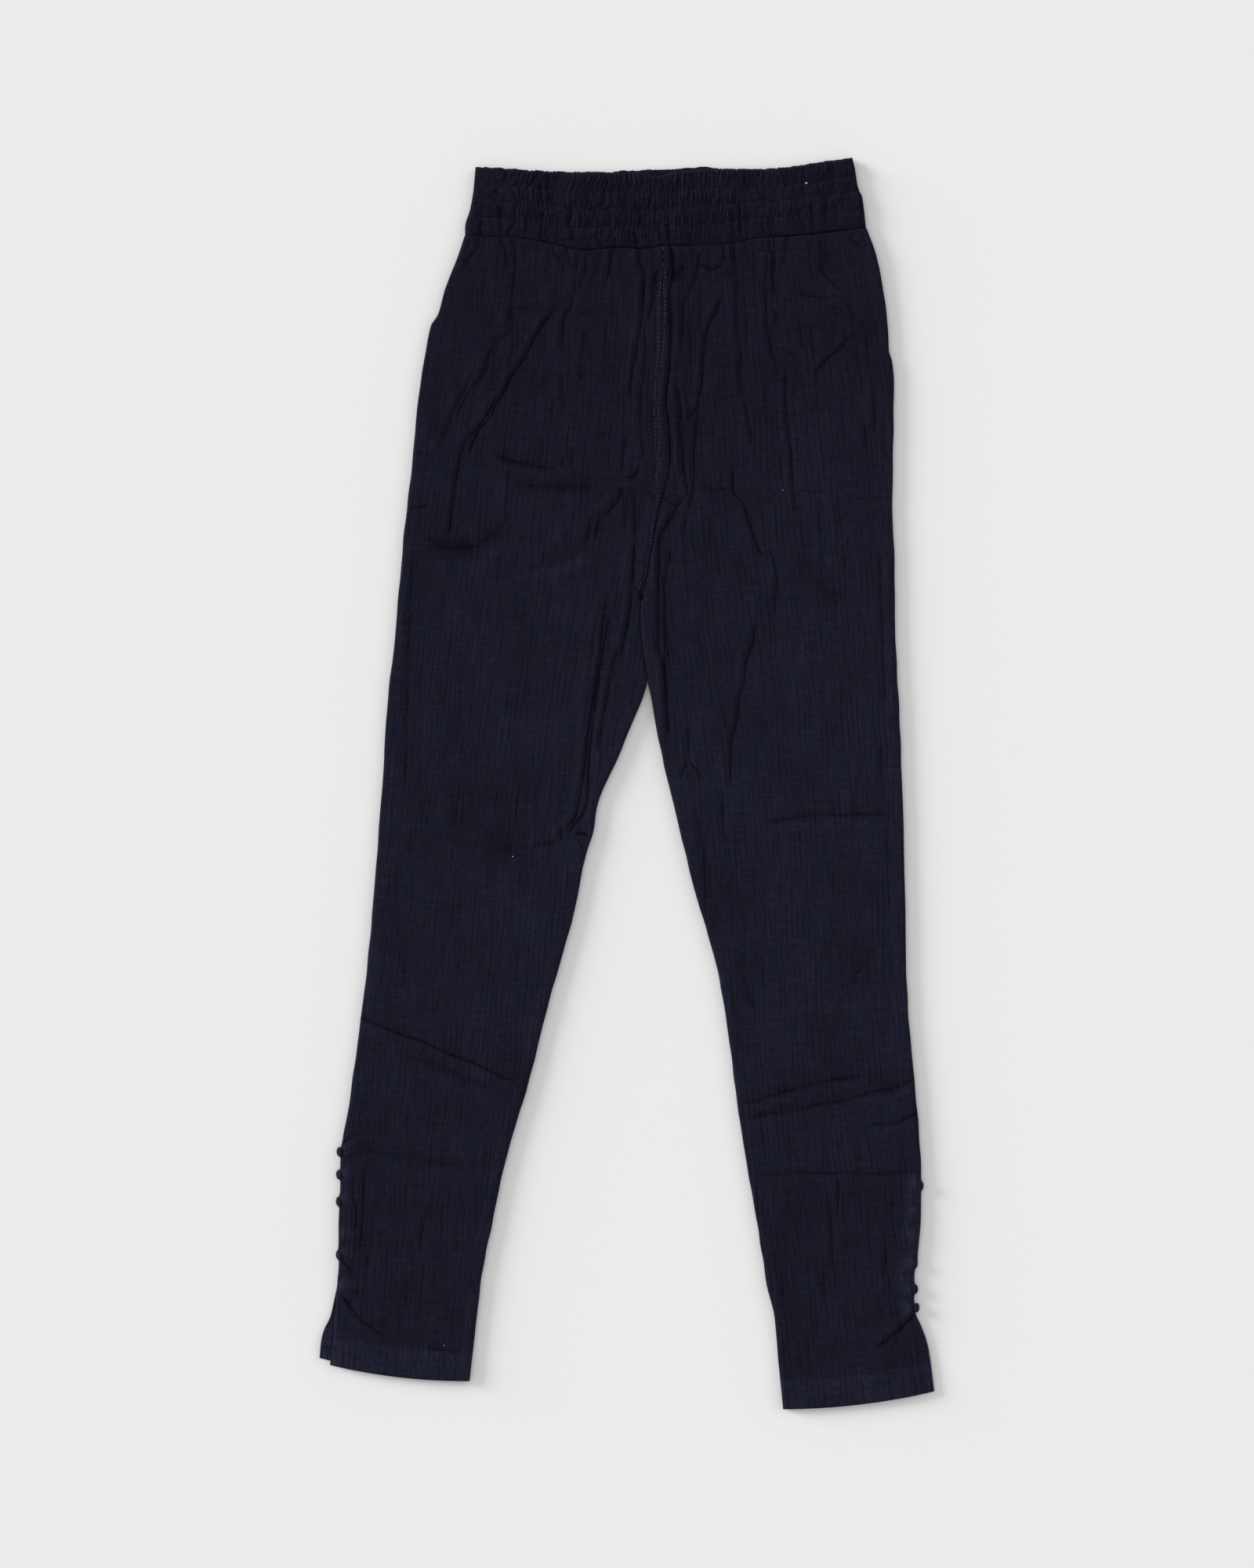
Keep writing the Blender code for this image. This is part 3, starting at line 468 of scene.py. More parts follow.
    (0.75, 3, 0.5, [(85, 723), (98, 721), (114, 716), (154, 706), (171, 703), (190, 701)]),
    (0.75, 3.2, 0.5, [
        (90, 735), (108, 731), (133, 727), (149, 723), (171, 720), (181, 716), (205, 711), (217, 706),
        (229, 701),
    ]),
    (1, 2.8, 0.5, [(180, 743), (191, 739), (201, 739), (221, 731), (233, 726)]),
    (0.4, 1.9, 0.2, [(99, 751), (108, 749)]),
    (0.5, 2.4, 0.3, [(95, 775), (111, 777), (133, 776), (195, 777), (221, 775), (233, 774)]),
    (0.4, 2.5, 0.3, [(83, 611), (90, 628), (98, 651), (102, 659)]),
    (0.5, 2, 0.2, [(184, 618), (175, 625), (176, 634)]),
    (0.75, 1.6, 0.2, [(161, 776), (162, 790), (161, 812)]),
    (0.6, 1.6, 0.2, [(155, 790), (158, 853)]),
    (0.7, 2, 0.3, [(197.5, 826), (198.5, 850), (200.5, 858), (201, 871)]),
    (0.45, 2, 0.2, [(203, 794), (203.5, 809)]),
    (0.5, 1.8, 0.2, [(213, 818.5), (217, 818), (221, 815), (228, 811)]),
    (0.4, 2.5, 0.2, [(214, 820), (214.5, 846)]),
    (0.5, 2.2, 0.2, [(193, 868), (194, 880), (196, 891)]),
    (0.5, 1.6, 0.2, [(118, 848), (120, 874)]),
    (0.55, 1.6, 0.2, [(150, 849), (152, 881)]),
    (1, 1.7, 0.5, [(229, 877), (219.5, 885.5), (203.5, 900.5), (187, 913)]),
    (0.6, 1.8, 0.2, [(-157, 910), (-145, 911), (-134, 912.5), (-121.5, 913)]),
    (0.6, 1.3, 0.3, [(-19, 333), (-24, 360), (-28, 392), (-31.5, 424), (-35, 452)]),
    (0.6, 1.3, 0.3, [(30, 300), (29.5, 330), (30.5, 362), (33, 395)]),
    (0.4, 1.6, 0.2, [(214, 890), (206, 905), (199, 916)]),
    (0.3, 4, 1.3, [(-80, 316), (-48, 306), (-27, 295)]),
])

# Creases of the waistband's front: its deepest gathers, and the bunched folds at its seam
BAND_CREASES = table(Crease, [
    (0.8, 1.3, 0.3, [(-91, 9), (-92.5, 14.5), (-95.5, 19.5)]),
    (0.6, 1.1, 0.2, [(-96, 21.5), (-99.5, 24), (-102, 26), (-104, 31)]),
    (0.7, 1.2, 0.3, [(-86.5, 12), (-89.5, 18), (-90.5, 21)]),
    (0.5, 1.0, 0.2, [(-77, 12), (-77.5, 21)]),
    (0.7, 1.1, 0.3, [(-70.5, 13), (-72.5, 17), (-76, 23)]),
    (0.6, 1.1, 0.2, [(-66.5, 16), (-66, 25), (-66.5, 34)]),
    (0.8, 1.1, 0.3, [(-59.5, 12), (-60.5, 20), (-60.5, 36)]),
    (0.8, 1.1, 0.3, [(-58.5, 27), (-58.5, 37)]),
    (0.6, 1.1, 0.2, [(-92, 25), (-94, 34)]),
    (0.8, 1.2, 0.3, [(-97, 36), (-97, 44), (-96, 50), (-95.5, 60)]),
    (0.6, 1.0, 0.2, [(-110, 32), (-110.5, 42)]),
    (0.9, 1.2, 0.4, [(-110.5, 47), (-112, 54), (-112, 60)]),
    (0.5, 1.0, 0.2, [(-86, 44), (-72, 43.6), (-60, 45), (-52, 45.2)]),
    (0.8, 1.2, 0.4, [(-86, 50), (-89, 54), (-91.5, 57), (-88, 60), (-85, 61)]),
    (0.8, 1.2, 0.3, [(-76, 44), (-76.5, 51), (-77.5, 57), (-77.5, 62)]),
    (0.7, 1.1, 0.3, [(-64, 40), (-65, 52), (-66, 58), (-66, 64)]),
    (0.7, 1.2, 0.2, [(-66, 63.5), (-62, 64.5), (-58.5, 64.3), (-58, 61)]),
    (0.6, 1.1, 0.2, [(-53, 52), (-53.5, 62), (-53, 66)]),
    (0.6, 1.1, 0.2, [(-52, 63), (-46, 62.4), (-38, 62)]),
    (1.0, 1.3, 0.4, [(-43.5, 37), (-43, 47), (-44, 50), (-42, 57), (-41.5, 69)]),
    (0.6, 1.1, 0.2, [(-31, 12), (-31.5, 20), (-29, 36)]),
    (0.6, 1.1, 0.2, [(-29, 45), (-29.5, 52), (-31, 57)]),
    (0.6, 1.1, 0.2, [(-15, 16), (-17, 25), (-17.5, 31), (-19.5, 40)]),
    (0.9, 1.2, 0.4, [(-22, 54), (-23.5, 60), (-21, 64), (-18.5, 68)]),
    (0.7, 1.1, 0.3, [(-9.5, 60), (-9.5, 69)]),
    (0.8, 1.2, 0.3, [(2.5, 52), (2.5, 60), (4.5, 69)]),
    (0.8, 1.2, 0.3, [(5, 55), (7, 64), (9, 69)]),
    (0.7, 1.1, 0.3, [(10, 36), (10, 46), (9, 54)]),
    (0.5, 1.0, 0.2, [(10, 60), (15, 60), (20, 60.3)]),
    (0.8, 1.1, 0.3, [(18.5, 28), (17, 34), (16.5, 43)]),
    (0.7, 1.1, 0.2, [(22.5, 36), (22, 51), (22.5, 61)]),
    (0.8, 1.1, 0.3, [(24.5, 50), (25, 57), (27, 64)]),
    (0.9, 1.2, 0.4, [(31, 48), (32, 60), (32.5, 68)]),
    (0.7, 1.1, 0.2, [(44, 38), (44.5, 48)]),
    (0.7, 1.1, 0.3, [(48, 57), (49, 66)]),
    (0.5, 1.1, 0.2, [(36, 64), (38, 62), (43, 61.5), (48, 61.5)]),
    (0.8, 1.1, 0.2, [(62, 37), (62.5, 47)]),
    (0.6, 1.1, 0.2, [(74, 45), (75, 52), (76.5, 57)]),
    (0.8, 1.2, 0.3, [(81, 38), (81, 53), (81, 66)]),
    (0.8, 1.2, 0.3, [(86, 34), (86.5, 48), (86.5, 63)]),
    (0.5, 1.1, 0.2, [(91, 13), (89, 23)]),
    (0.45, 1.1, 0.2, [(105.5, 13), (105.5, 30), (106.5, 46)]),
    (0.5, 1.1, 0.2, [(102, 49), (105, 55), (107.5, 60)]),
    (0.5, 1.1, 0.2, [(108, 44), (110, 54), (111.5, 61)]),
    (0.5, 1.1, 0.2, [(111.5, 45), (113, 51), (114, 56)]),
    (0.5, 1.1, 0.2, [(113.5, 36), (114, 44)]),
    (0.5, 1.1, 0.2, [(124.5, 36), (125.5, 44)]),
    (0.6, 1.2, 0.3, [(134.5, 8), (135.5, 12), (136.5, 17)]),
    (0.7, 1.2, 0.4, [(141, 33), (141, 42), (142, 50), (144, 55), (143.5, 59)]),
    (0.45, 1.1, 0.2, [(145.5, 18), (147.5, 27)]),
    (0.6, 1.1, 0.3, [(150.5, 28), (152.5, 34), (152, 41)]),
    (0.45, 1.1, 0.2, [(157.5, 5), (158.5, 14), (158, 24)]),
    (0.45, 1.1, 0.2, [(165, 24), (166, 41)]),
])

# Creases of the back, like those of the front: across the seat, behind the knees and above the hems
BACK_CREASES = table(Crease, [
    (0.7, 2.2, 0, [(-98, 66), (-104, 110), (-122, 168)]),
    (0.6, 2.0, 0, [(-46, 74), (-52, 120), (-70, 190)]),
    (0.7, 2.2, 0, [(4, 78), (0, 140), (-12, 214)]),
    (0.6, 2.0, 0, [(64, 74), (70, 130), (66, 205)]),
    (0.7, 2.2, 0, [(118, 66), (126, 122), (146, 176)]),
    (0.8, 2.6, 0, [(2, 318), (-34, 334), (-84, 342)]),
    (0.8, 2.6, 0, [(24, 318), (66, 336), (118, 340)]),
    (0.7, 2.4, 0, [(-6, 352), (-30, 380), (-48, 420)]),
    (0.7, 2.4, 0, [(28, 360), (44, 400), (56, 452)]),
    (0.7, 2.6, 0, [(-60, 508), (-104, 514), (-160, 506)]),
    (0.6, 2.4, 0, [(-66, 530), (-112, 540), (-150, 534)]),
    (0.7, 2.6, 0, [(72, 512), (124, 520), (190, 508)]),
    (0.6, 2.4, 0, [(80, 540), (128, 544), (170, 538)]),
    (0.6, 2.2, 0, [(-90, 664), (-140, 676), (-188, 668)]),
    (0.6, 2.2, 0, [(98, 680), (150, 692), (204, 684)]),
    (0.6, 2.0, 0, [(-116, 790), (-160, 796), (-202, 790)]),
    (0.6, 2.0, 0, [(112, 800), (160, 808), (206, 800)]),
])


def linear(code):
    """Linear red, green, blue and alpha of an sRGB hex code such as 0x1C1C28."""
    shares = np.array([code >> 16 & 255, code >> 8 & 255, code & 255]) / 255
    return tuple(np.where(shares <= 0.04045, shares / 12.92, ((shares + 0.055) / 1.055) ** 2.4)) + (1.0,)


def length_property(name, description, default):
    settings = {"name": name, "description": description, "default": default}
    return FloatProperty(min=0, unit="LENGTH", precision=5, **settings)


def colour_property(name, description, code):
    settings = {"name": name, "description": description, "default": linear(code)}
    return FloatVectorProperty(size=4, subtype="COLOR", **settings)


class TrouserSizes(bpy.types.PropertyGroup):
    cloth: length_property("Cloth", "Thickness of the cloth's wall", 0.0012)
    stripe: length_property("Stripe", "Distance between two woven stripes", 0.0082)
    thread: length_property("Thread", "Width of a thick warp thread, drawn coarser than the yarn", 0.0011)
    gather_rise: length_property("Gather rise", "Height of a gather in the waistband", 0.0009)
    pucker_rise: length_property("Pucker rise", "Height of the small puckers between gathers", 0.00055)
    channel_puff: length_property("Channel puff", "Swell of the waistband between its rows of sewing", 0.0006)
    stitch_pitch: length_property("Stitch pitch", "Distance from one stitch to the next", 0.0031)
    stitch_length: length_property("Stitch length", "Length of one stitch", 0.0019)
    stitch_width: length_property("Stitch width", "Thickness of the sewing thread, drawn coarser", 0.00048)
    creasing: FloatProperty(name="Creasing", description="Depth of all creases", default=1.0, min=0, max=1.5)
    seed: IntProperty(name="Seed", description="Start of what is uneven", default=7)


class TrouserColours(bpy.types.PropertyGroup):
    legs: colour_property("Legs", "Striped cotton of the legs", 0x181826)
    waistband: colour_property("Waistband", "Gathered cotton of the waistband", 0x12111D)
    buttons: colour_property("Buttons", "Cotton over the buttons", 0x1B1B2A)
    thread: colour_property("Thread", "Sewing thread", 0x37374B)
    lint: colour_property("Lint", "Specks of white lint", 0xD8D8D8)
    floor: colour_property("Floor", "Pale floor", 0xECECEC)


def smooth_step(value):
    value = np.clip(value, 0.0, 1.0)
    return value * value * (3 - 2 * value)


def bell(distance, width):
    return np.exp(-((distance / width) ** 2))


def curve_through(rows, at):
    """The second column at each value of the first, on a smooth curve that never overshoots a row."""
    xs = np.array([row[0] for row in rows], float)
    ys = np.array([row[1] for row in rows], float)
    steps = np.diff(xs)
    slopes = np.diff(ys) / steps
    tangents = np.zeros(len(xs))
    tangents[0], tangents[-1] = slopes[0], slopes[-1]
    same_way = slopes[:-1] * slopes[1:] > 0
    before, after = slopes[:-1][same_way], slopes[1:][same_way]
    tangents[1:-1][same_way] = 2 * before * after / (before + after)
    at = np.clip(at, xs[0], xs[-1])
    i = np.clip(np.searchsorted(xs, at, side="right") - 1, 0, len(steps) - 1)
    t = (at - xs[i]) / steps[i]
    start = ys[i] * (1 + 2 * t) * (1 - t) ** 2 + tangents[i] * steps[i] * t * (1 - t) ** 2
    end = ys[i + 1] * t * t * (3 - 2 * t) + tangents[i + 1] * steps[i] * t * t * (t - 1)
    return start + end


def soft_noise(x, down, cell_x, cell_down, seed):
    """Smooth unevenness from -1 to 1, in cells of the given size."""
    size = 64
    values = np.random.default_rng(seed).uniform(-1, 1, (size, size))
    across, along = np.asarray(x) / cell_x + 500, np.asarray(down) / cell_down + 500
    i, j = np.floor(across).astype(int), np.floor(along).astype(int)
    s, t = smooth_step(across - i), smooth_step(along - j)
    near, far = (
        values[k % size, j % size] * (1 - t) + values[k % size, (j + 1) % size] * t
        for k in (i, i + 1)
    )
    return near * (1 - s) + far * s


def smooth_path(points, steps=6):
    """Places on a smooth curve through the given points."""
    points = np.array(points, float)
    at = np.concatenate([[0], np.cumsum(np.hypot(*np.diff(points, axis=0).T))])
    fine = np.linspace(0, at[-1], steps * (len(points) - 1) + 1)
    return np.stack([curve_through(np.stack([at, points[:, i]], 1), fine) for i in (0, 1)], 1)


def beside_path(x, down, path):
    """Distance from a path, positive on its right, the share of its length, and its length."""
    runs = np.diff(path, axis=0)
    lengths = np.hypot(*runs.T)
    starts = np.concatenate([[0], np.cumsum(lengths)])
    nearest = np.full(x.shape, np.inf)
    signed, share = np.zeros(x.shape), np.zeros(x.shape)
    for start, run, length, before in zip(path, runs, lengths, starts):
        t = np.clip(((x - start[0]) * run[0] + (down - start[1]) * run[1]) / length**2, 0, 1)
        dx, dd = x - start[0] - t * run[0], down - start[1] - t * run[1]
        gap = np.hypot(dx, dd)
        closer = gap < nearest
        nearest = np.where(closer, gap, nearest)
        signed = np.where(closer, np.copysign(gap, run[0] * dd - run[1] * dx), signed)
        share = np.where(closer, (before + t * length) / starts[-1], share)
    return signed, share, starts[-1]


def crease_layers(creases):
    """A layer of lines for each crease, so that creases near each other are drawn in different layers."""
    layers, placed = [], [[] for _ in range(LINE_LAYERS)]
    for crease in creases:
        path = smooth_path(crease.path, 3)
        gaps = []
        for others in placed:
            apart = [np.hypot(*(path[:, None] - other[None]).T).min() for other in others]
            gaps.append(min(apart, default=1000))
        clear = [layer for layer, gap in enumerate(gaps) if gap > LINE_APART]
        layers.append(clear[0] if clear else int(np.argmax(gaps)))
        placed[layers[-1]].append(path)
    return layers


def creases_at(x, down, creases, creasing, cell):
    """What creases give each point: a rise, a painted shade, a painted highlight on their ridges, and their
    lines.

    Each layer of lines holds, for each point, its distance from the nearest line in half widths of that line,
    and how dark the line is painted, as painted shade. cell is the size in mm of the grid's cells, too large
    to show a line in relief.
    """
    rise, shade, paler = np.zeros(x.shape), np.zeros(x.shape), np.zeros(x.shape)
    lines, nearest = np.zeros((LINE_LAYERS, *x.shape, 3)), np.full((LINE_LAYERS, *x.shape), 1000.0)
    for number, (crease, layer) in enumerate(zip(creases, crease_layers(creases))):
        path = smooth_path(crease.path)
        half = LINE_WIDTH * crease.width
        valley_width = np.clip(1.5 * crease.width, 1.2 * cell, 9)
        reach = 4.5 * valley_width + 2 * cell
        low, high = path.min(0) - reach, path.max(0) + reach
        near = (x > low[0]) & (x < high[0]) & (down > low[1]) & (down < high[1])
        if not near.any():
            continue
        away, share, length = beside_path(x[near], down[near], path)
        fade = np.clip(0.3 * length, 2, 13)
        first_fade = 2 if path[0, 1] < SEAM_REACH else fade
        run = share * length
        ends = smooth_step(run / first_fade) * smooth_step((1 - share) * length / fade)
        waver = 1 + 0.25 * np.sin(2.4 * number + run / 8) + 0.15 * np.sin(1.3 * number + run / 3.1)
        depth = crease.depth * creasing * ends * waver
        shoulder = bell(np.sign(crease.ridge) * away - 1.5 * valley_width, valley_width)
        rise[near] += 0.8 * abs(crease.ridge) * creasing * ends * shoulder
        # Painted highlight along the ridge beside the crease
        paler[near] = np.maximum(paler[near], 0.16 * abs(crease.ridge) * creasing * ends * shoulder)
        rise[near] -= 0.42 * depth * bell(away, valley_width)
        # Painted shade across the crease's valley
        softness = np.clip(0.15 + 0.06 * crease.width, 0, 0.5)
        shade[near] = np.maximum(shade[near], softness * depth * bell(away, 0.6 + 1.35 * crease.width))
        zone = 1 - smooth_step((np.abs(away) - max(cell * 1.3, 2.2 * half)) / (0.5 * cell))
        closer = np.abs(away) < nearest[layer][near]
        # How dark the crease line is painted, as painted shade
        dark = depth * zone * min(1.0, 1.8 / crease.width)
        line = np.stack([np.clip(away / half, -20, 20), dark, 0 * dark], -1)
        lines[layer][near] = np.where(closer[:, None], line, lines[layer][near])
        nearest[layer][near] = np.minimum(nearest[layer][near], np.abs(away))
    return np.clip(rise, -1.7, 1.5), shade, paler, lines


def grain_places(leg, x, down, pitch):
    """(u, v) of each point in mm, across and along the threads, which fan out from the centre of the hip."""
    at = np.arange(40, 980, 5.0)
    slants = np.tan(np.radians(curve_through(leg.grain, at)))
    shift = np.interp(down, at, np.concatenate([[0], np.cumsum(slants[:-1] * 5.0)]))
    centre = curve_through(CENTRE_SEAM, np.clip(down, None, FORK))
    share = smooth_step(np.abs(x - centre) / 150)
    fan = share + (1 - share) * smooth_step((down - 150) / 400)
    u = x - shift * (0.25 + 0.75 * fan)
    return u + 0.13 * pitch * soft_noise(u, down, 2.2 * pitch, 30, 7), down


def row_places(leg, spacing):
    """Places of a leg's rows down its inner edge, closer at the waist seam and at the hem's fold."""
    top = CENTRE_SEAM[0].down + BAND_SEAM_GAP
    first = top + np.array([0, 0.4, 1.0, 1.8])
    last = leg.hem_inner - np.array([2.4, 1.5, 0.9, 0.45, 0.15, 0])
    count = int((last[0] - first[-1]) / spacing)
    return np.concatenate([first, np.linspace(first[-1], last[0], count + 1)[1:-1], last])


def panel_edges(leg, inner_down, front):
    """Plan points of a panel's outer and inner edges, a pair for each row, a little wavy as sewn edges."""
    slit, hem_outer = (leg.slit_front, leg.hem_front) if front else (leg.slit_back, leg.hem_back)
    wavy = smooth_step((inner_down - 90) / 30) * smooth_step((leg.hem_inner - 30 - inner_down) / 30)
    above_fork = curve_through(CENTRE_SEAM, np.minimum(inner_down, FORK))
    below_fork = curve_through(CENTRE_SEAM[-1:] + leg.inseam, np.maximum(inner_down, FORK))
    inner_x = np.where(inner_down < FORK, above_fork, below_fork) + leg.side * SEWN_GAP / 2
    inner_x = inner_x + 0.3 * wavy * soft_noise(0, inner_down, 1, 13, 30)
    share = (inner_down - inner_down[0]) / (inner_down[-1] - inner_down[0])
    outer_top = leg.outseam[0].down + BAND_SEAM_GAP
    slant = (inner_down[0] - outer_top) * (1 - share) + (leg.hem_inner - hem_outer) * share
    outer_down = inner_down - slant
    outer_x = curve_through(leg.outseam + slit, outer_down) + leg.side * EDGE_BULGE
    outer_x = outer_x + 0.35 * wavy * soft_noise(0, outer_down, 1, 16, 50 + leg.side)
    for button in leg.buttons if front else ():
        below = outer_down - button.down
        outer_x = outer_x + leg.side * (button.drawn * bell(below, 4.0) - 0.4 * bell(below - 9, 4.5))
    return np.stack([outer_x, outer_down], 1), np.stack([inner_x, inner_down], 1)


def rolled_edge(last_angle, roll):
    """(inset, turned, lip) of each point of an edge that rolls through last_angle, from the edge inwards."""
    turn = np.linspace(1, 0, ROLL_STEPS + 1)
    spread = (1 - math.sin(last_angle)) * (1 - turn)
    inset = LIP * math.cos(last_angle) + roll * (math.sin(last_angle) - np.sin(turn * last_angle) + spread)
    turned = 1 - np.cos(turn * last_angle)
    lip = np.zeros(ROLL_STEPS + 2)
    lip[0] = math.sin(last_angle)
    return np.append(0, inset), np.append(turned[0], turned), lip


def panel_plan(leg, front):
    """Where a panel's points lie in plan, as arrays of rows by columns."""
    columns, spacing = (FRONT_COLUMNS, FRONT_ROW) if front else (BACK_COLUMNS, BACK_ROW)
    centre_roll = CENTRE_FRONT_ROLL if front else 0.0
    inner_down = row_places(leg, spacing)
    plan = []
    for start, end in zip(*panel_edges(leg, inner_down, front)):
        width = np.hypot(*(end - start))
        blend = float(smooth_step((end[1] - FORK + FORK_BLEND) / FORK_BLEND))
        angle = centre_roll + (math.pi / 2 - centre_roll) * blend
        roll = CENTRE_ROLL + (ROLL - CENTRE_ROLL) * blend
        outer_inset, outer_turned, outer_lip = rolled_edge(math.pi / 2, ROLL)
        inner_inset, inner_turned, inner_lip = rolled_edge(angle, roll)
        flat = np.linspace(outer_inset[-1], width - inner_inset[-1], columns + 1)[1:-1]
        level = np.zeros(len(flat))
        along = np.concatenate([outer_inset, flat, width - inner_inset[::-1]])
        turned = np.concatenate([outer_turned, level, inner_turned[::-1]])
        lip = np.concatenate([outer_lip, level, inner_lip[::-1]])
        x = start[0] + (end[0] - start[0]) * along / width
        down = start[1] + (end[1] - start[1]) * along / width
        plan.append((x, down, turned, lip, along, width - along))
    return Panel(*np.moveaxis(np.array(plan), 1, 0))


def bend_rows(leg, panel, to_band):
    """Bends the rows near the waistband to its seam line, where asked, and sags those at the hem."""
    x, down = panel.x, panel.down
    if to_band:
        miss = curve_through(BAND_SEAM, x[0]) + BAND_SEAM_GAP - down[0]
        down = down + miss * (1 - smooth_step((down - down[0]) / YOKE_FADE))
    share = (x - x[:, :1]) / (x[:, -1:] - x[:, :1])
    near_hem = smooth_step((down - leg.hem_inner + 4 * HEM_DEPTH) / (3 * HEM_DEPTH))
    return panel._replace(down=down + HEM_BOW * 4 * share * (1 - share) * near_hem)


def waist_puckers(seed):
    """Short uneven creases in which the cloth falls from the waistband."""
    rng = np.random.default_rng(seed)
    puckers = []
    place = -120.0
    while place < 180:
        length = 4 + 26 * rng.random() ** 2.4
        depth = rng.uniform(0.15, 0.6)
        lean = (place - 30) / 160 * 0.22 + rng.uniform(-0.12, 0.12)
        top = float(curve_through(BAND_SEAM, place)) + 0.5
        path = [(place + lean * length * share, top + length * share) for share in (0, 0.5, 1)]
        puckers.append(Crease(depth, 1.2, 0.2, path))
        place += rng.uniform(3.0, 9.0)
    return puckers


def hem_relief(x, above):
    """The turned-up hem: a step where its inner layer ends, its sewing, its puckers, and its fold."""
    step = 0.45 * (1 - smooth_step((above - HEM_DEPTH + 0.5) / 2.5))
    sewn = -0.4 * bell(above - HEM_DEPTH + HEM_SEWN, 1.1)
    rope = 0.16 * np.sin(x * 1.05 + above * 0.45) * bell(above - 0.62 * HEM_DEPTH, 7)
    rope = rope * (0.6 + 0.6 * soft_noise(x, above, 17, 40, 91))
    fold = -0.85 * (1 - np.sqrt(np.clip(above, 0, 1.1) * (2.2 - np.clip(above, 0, 1.1)) / 1.21))
    return step + sewn + rope + fold


def button_bumps(leg, down, from_outer):
    """How far the cloth beside the outer seam bulges over buttons, is drawn in between them, and is paler."""
    bulge, drawn, paler = np.zeros(down.shape), np.zeros(down.shape), np.zeros(down.shape)
    for bump in leg.bumps:
        below = down - bump.down
        bulge += bell(from_outer - 4.0, 4.2) * bell(below, 4.0)
        drawn += bell(from_outer - 1.5, 3.0) * bell(below + 5.6, 1.3)
        drawn += 0.5 * bell(from_outer - 5, 5.0) * bell(below - 6.5, 1.2)
        # Painted highlight on each bulge over a button
        paler += bump.paler * bell(from_outer - 6.0, 6.0) * bell(below, 4.6)
    first, last = leg.bumps[0].down - 10, leg.bumps[-1].down + 8
    beside = smooth_step((down - first) / 8) * smooth_step((last - down) / 8)
    beside = beside * (1 - smooth_step((from_outer - 11) / 5))
    return bulge, drawn, paler + leg.worn * beside


def centre_seam_relief(leg, panel, sizes):
    """The felled centre seam: a raised band with two stitched rows, and the drawn-in point of the crotch."""
    x, down = panel.x, panel.down
    hole = np.hypot(x - CROTCH.x, down - CROTCH.down)
    rise = 0.5 * bell(hole - 5, 2.2) - 1.7 * bell(hole, 2.3)
    # Painted shade in the drawn-in point of the crotch
    painted_shade = bell(hole, 2.2)
    if leg is RIGHT_LEG:
        seam = curve_through(CENTRE_SEAM, down) - x
        outer_row, inner_row = (curve_through(row, down) - x for row in (SEAM_ROW_OUTER, SEAM_ROW_INNER))
        on_seam = 1 - smooth_step((down - FORK + 75) / 12)
        beside_inner = (down > SEAM_ROW_INNER[0].down) & (down < SEAM_ROW_INNER[-1].down + 3)
        rise = rise + FELL_RISE * on_seam * smooth_step((FELL_WIDTH + 0.8 - seam) / 1.6)
        bite = 0.5 + 0.5 * np.cos(2 * math.pi * down * MM / sizes.stitch_pitch)
        rise = rise - (0.18 + 0.22 * bite) * on_seam * bell(outer_row, 0.9)
        rise = rise - (0.18 + 0.22 * bite) * beside_inner * bell(inner_row, 0.9)
        rise = rise + 0.25 * on_seam * soft_noise(x, down, 3.2, 5.5, 61) * bell(seam - 4, 5)
    else:
        seam = x - curve_through(CENTRE_SEAM, down)
        beside = bell(seam - 5, 4) * (1 - smooth_step((down - FORK + 40) / 50))
        rise = rise + (0.45 + 0.4 * soft_noise(0, down, 1, 19, 62)) * beside
    return rise, painted_shade


def seam_allowance(panel, seed):
    """Soft edge, beside each side seam, of the cloth's turned-back edge underneath."""
    x, down = panel.x, panel.down
    shown = 0.6 + 0.6 * soft_noise(x, down, 60, 36, seed)
    outer = smooth_step((10.5 + 0.8 * soft_noise(0, down, 1, 22, seed + 1) - panel.from_outer) / 1.8)
    inner = smooth_step((9.0 - panel.from_inner) / 1.8) * smooth_step((down - FORK - 10) / 30)
    return 0.32 * np.clip(shown, 0, 1) * (outer + inner)


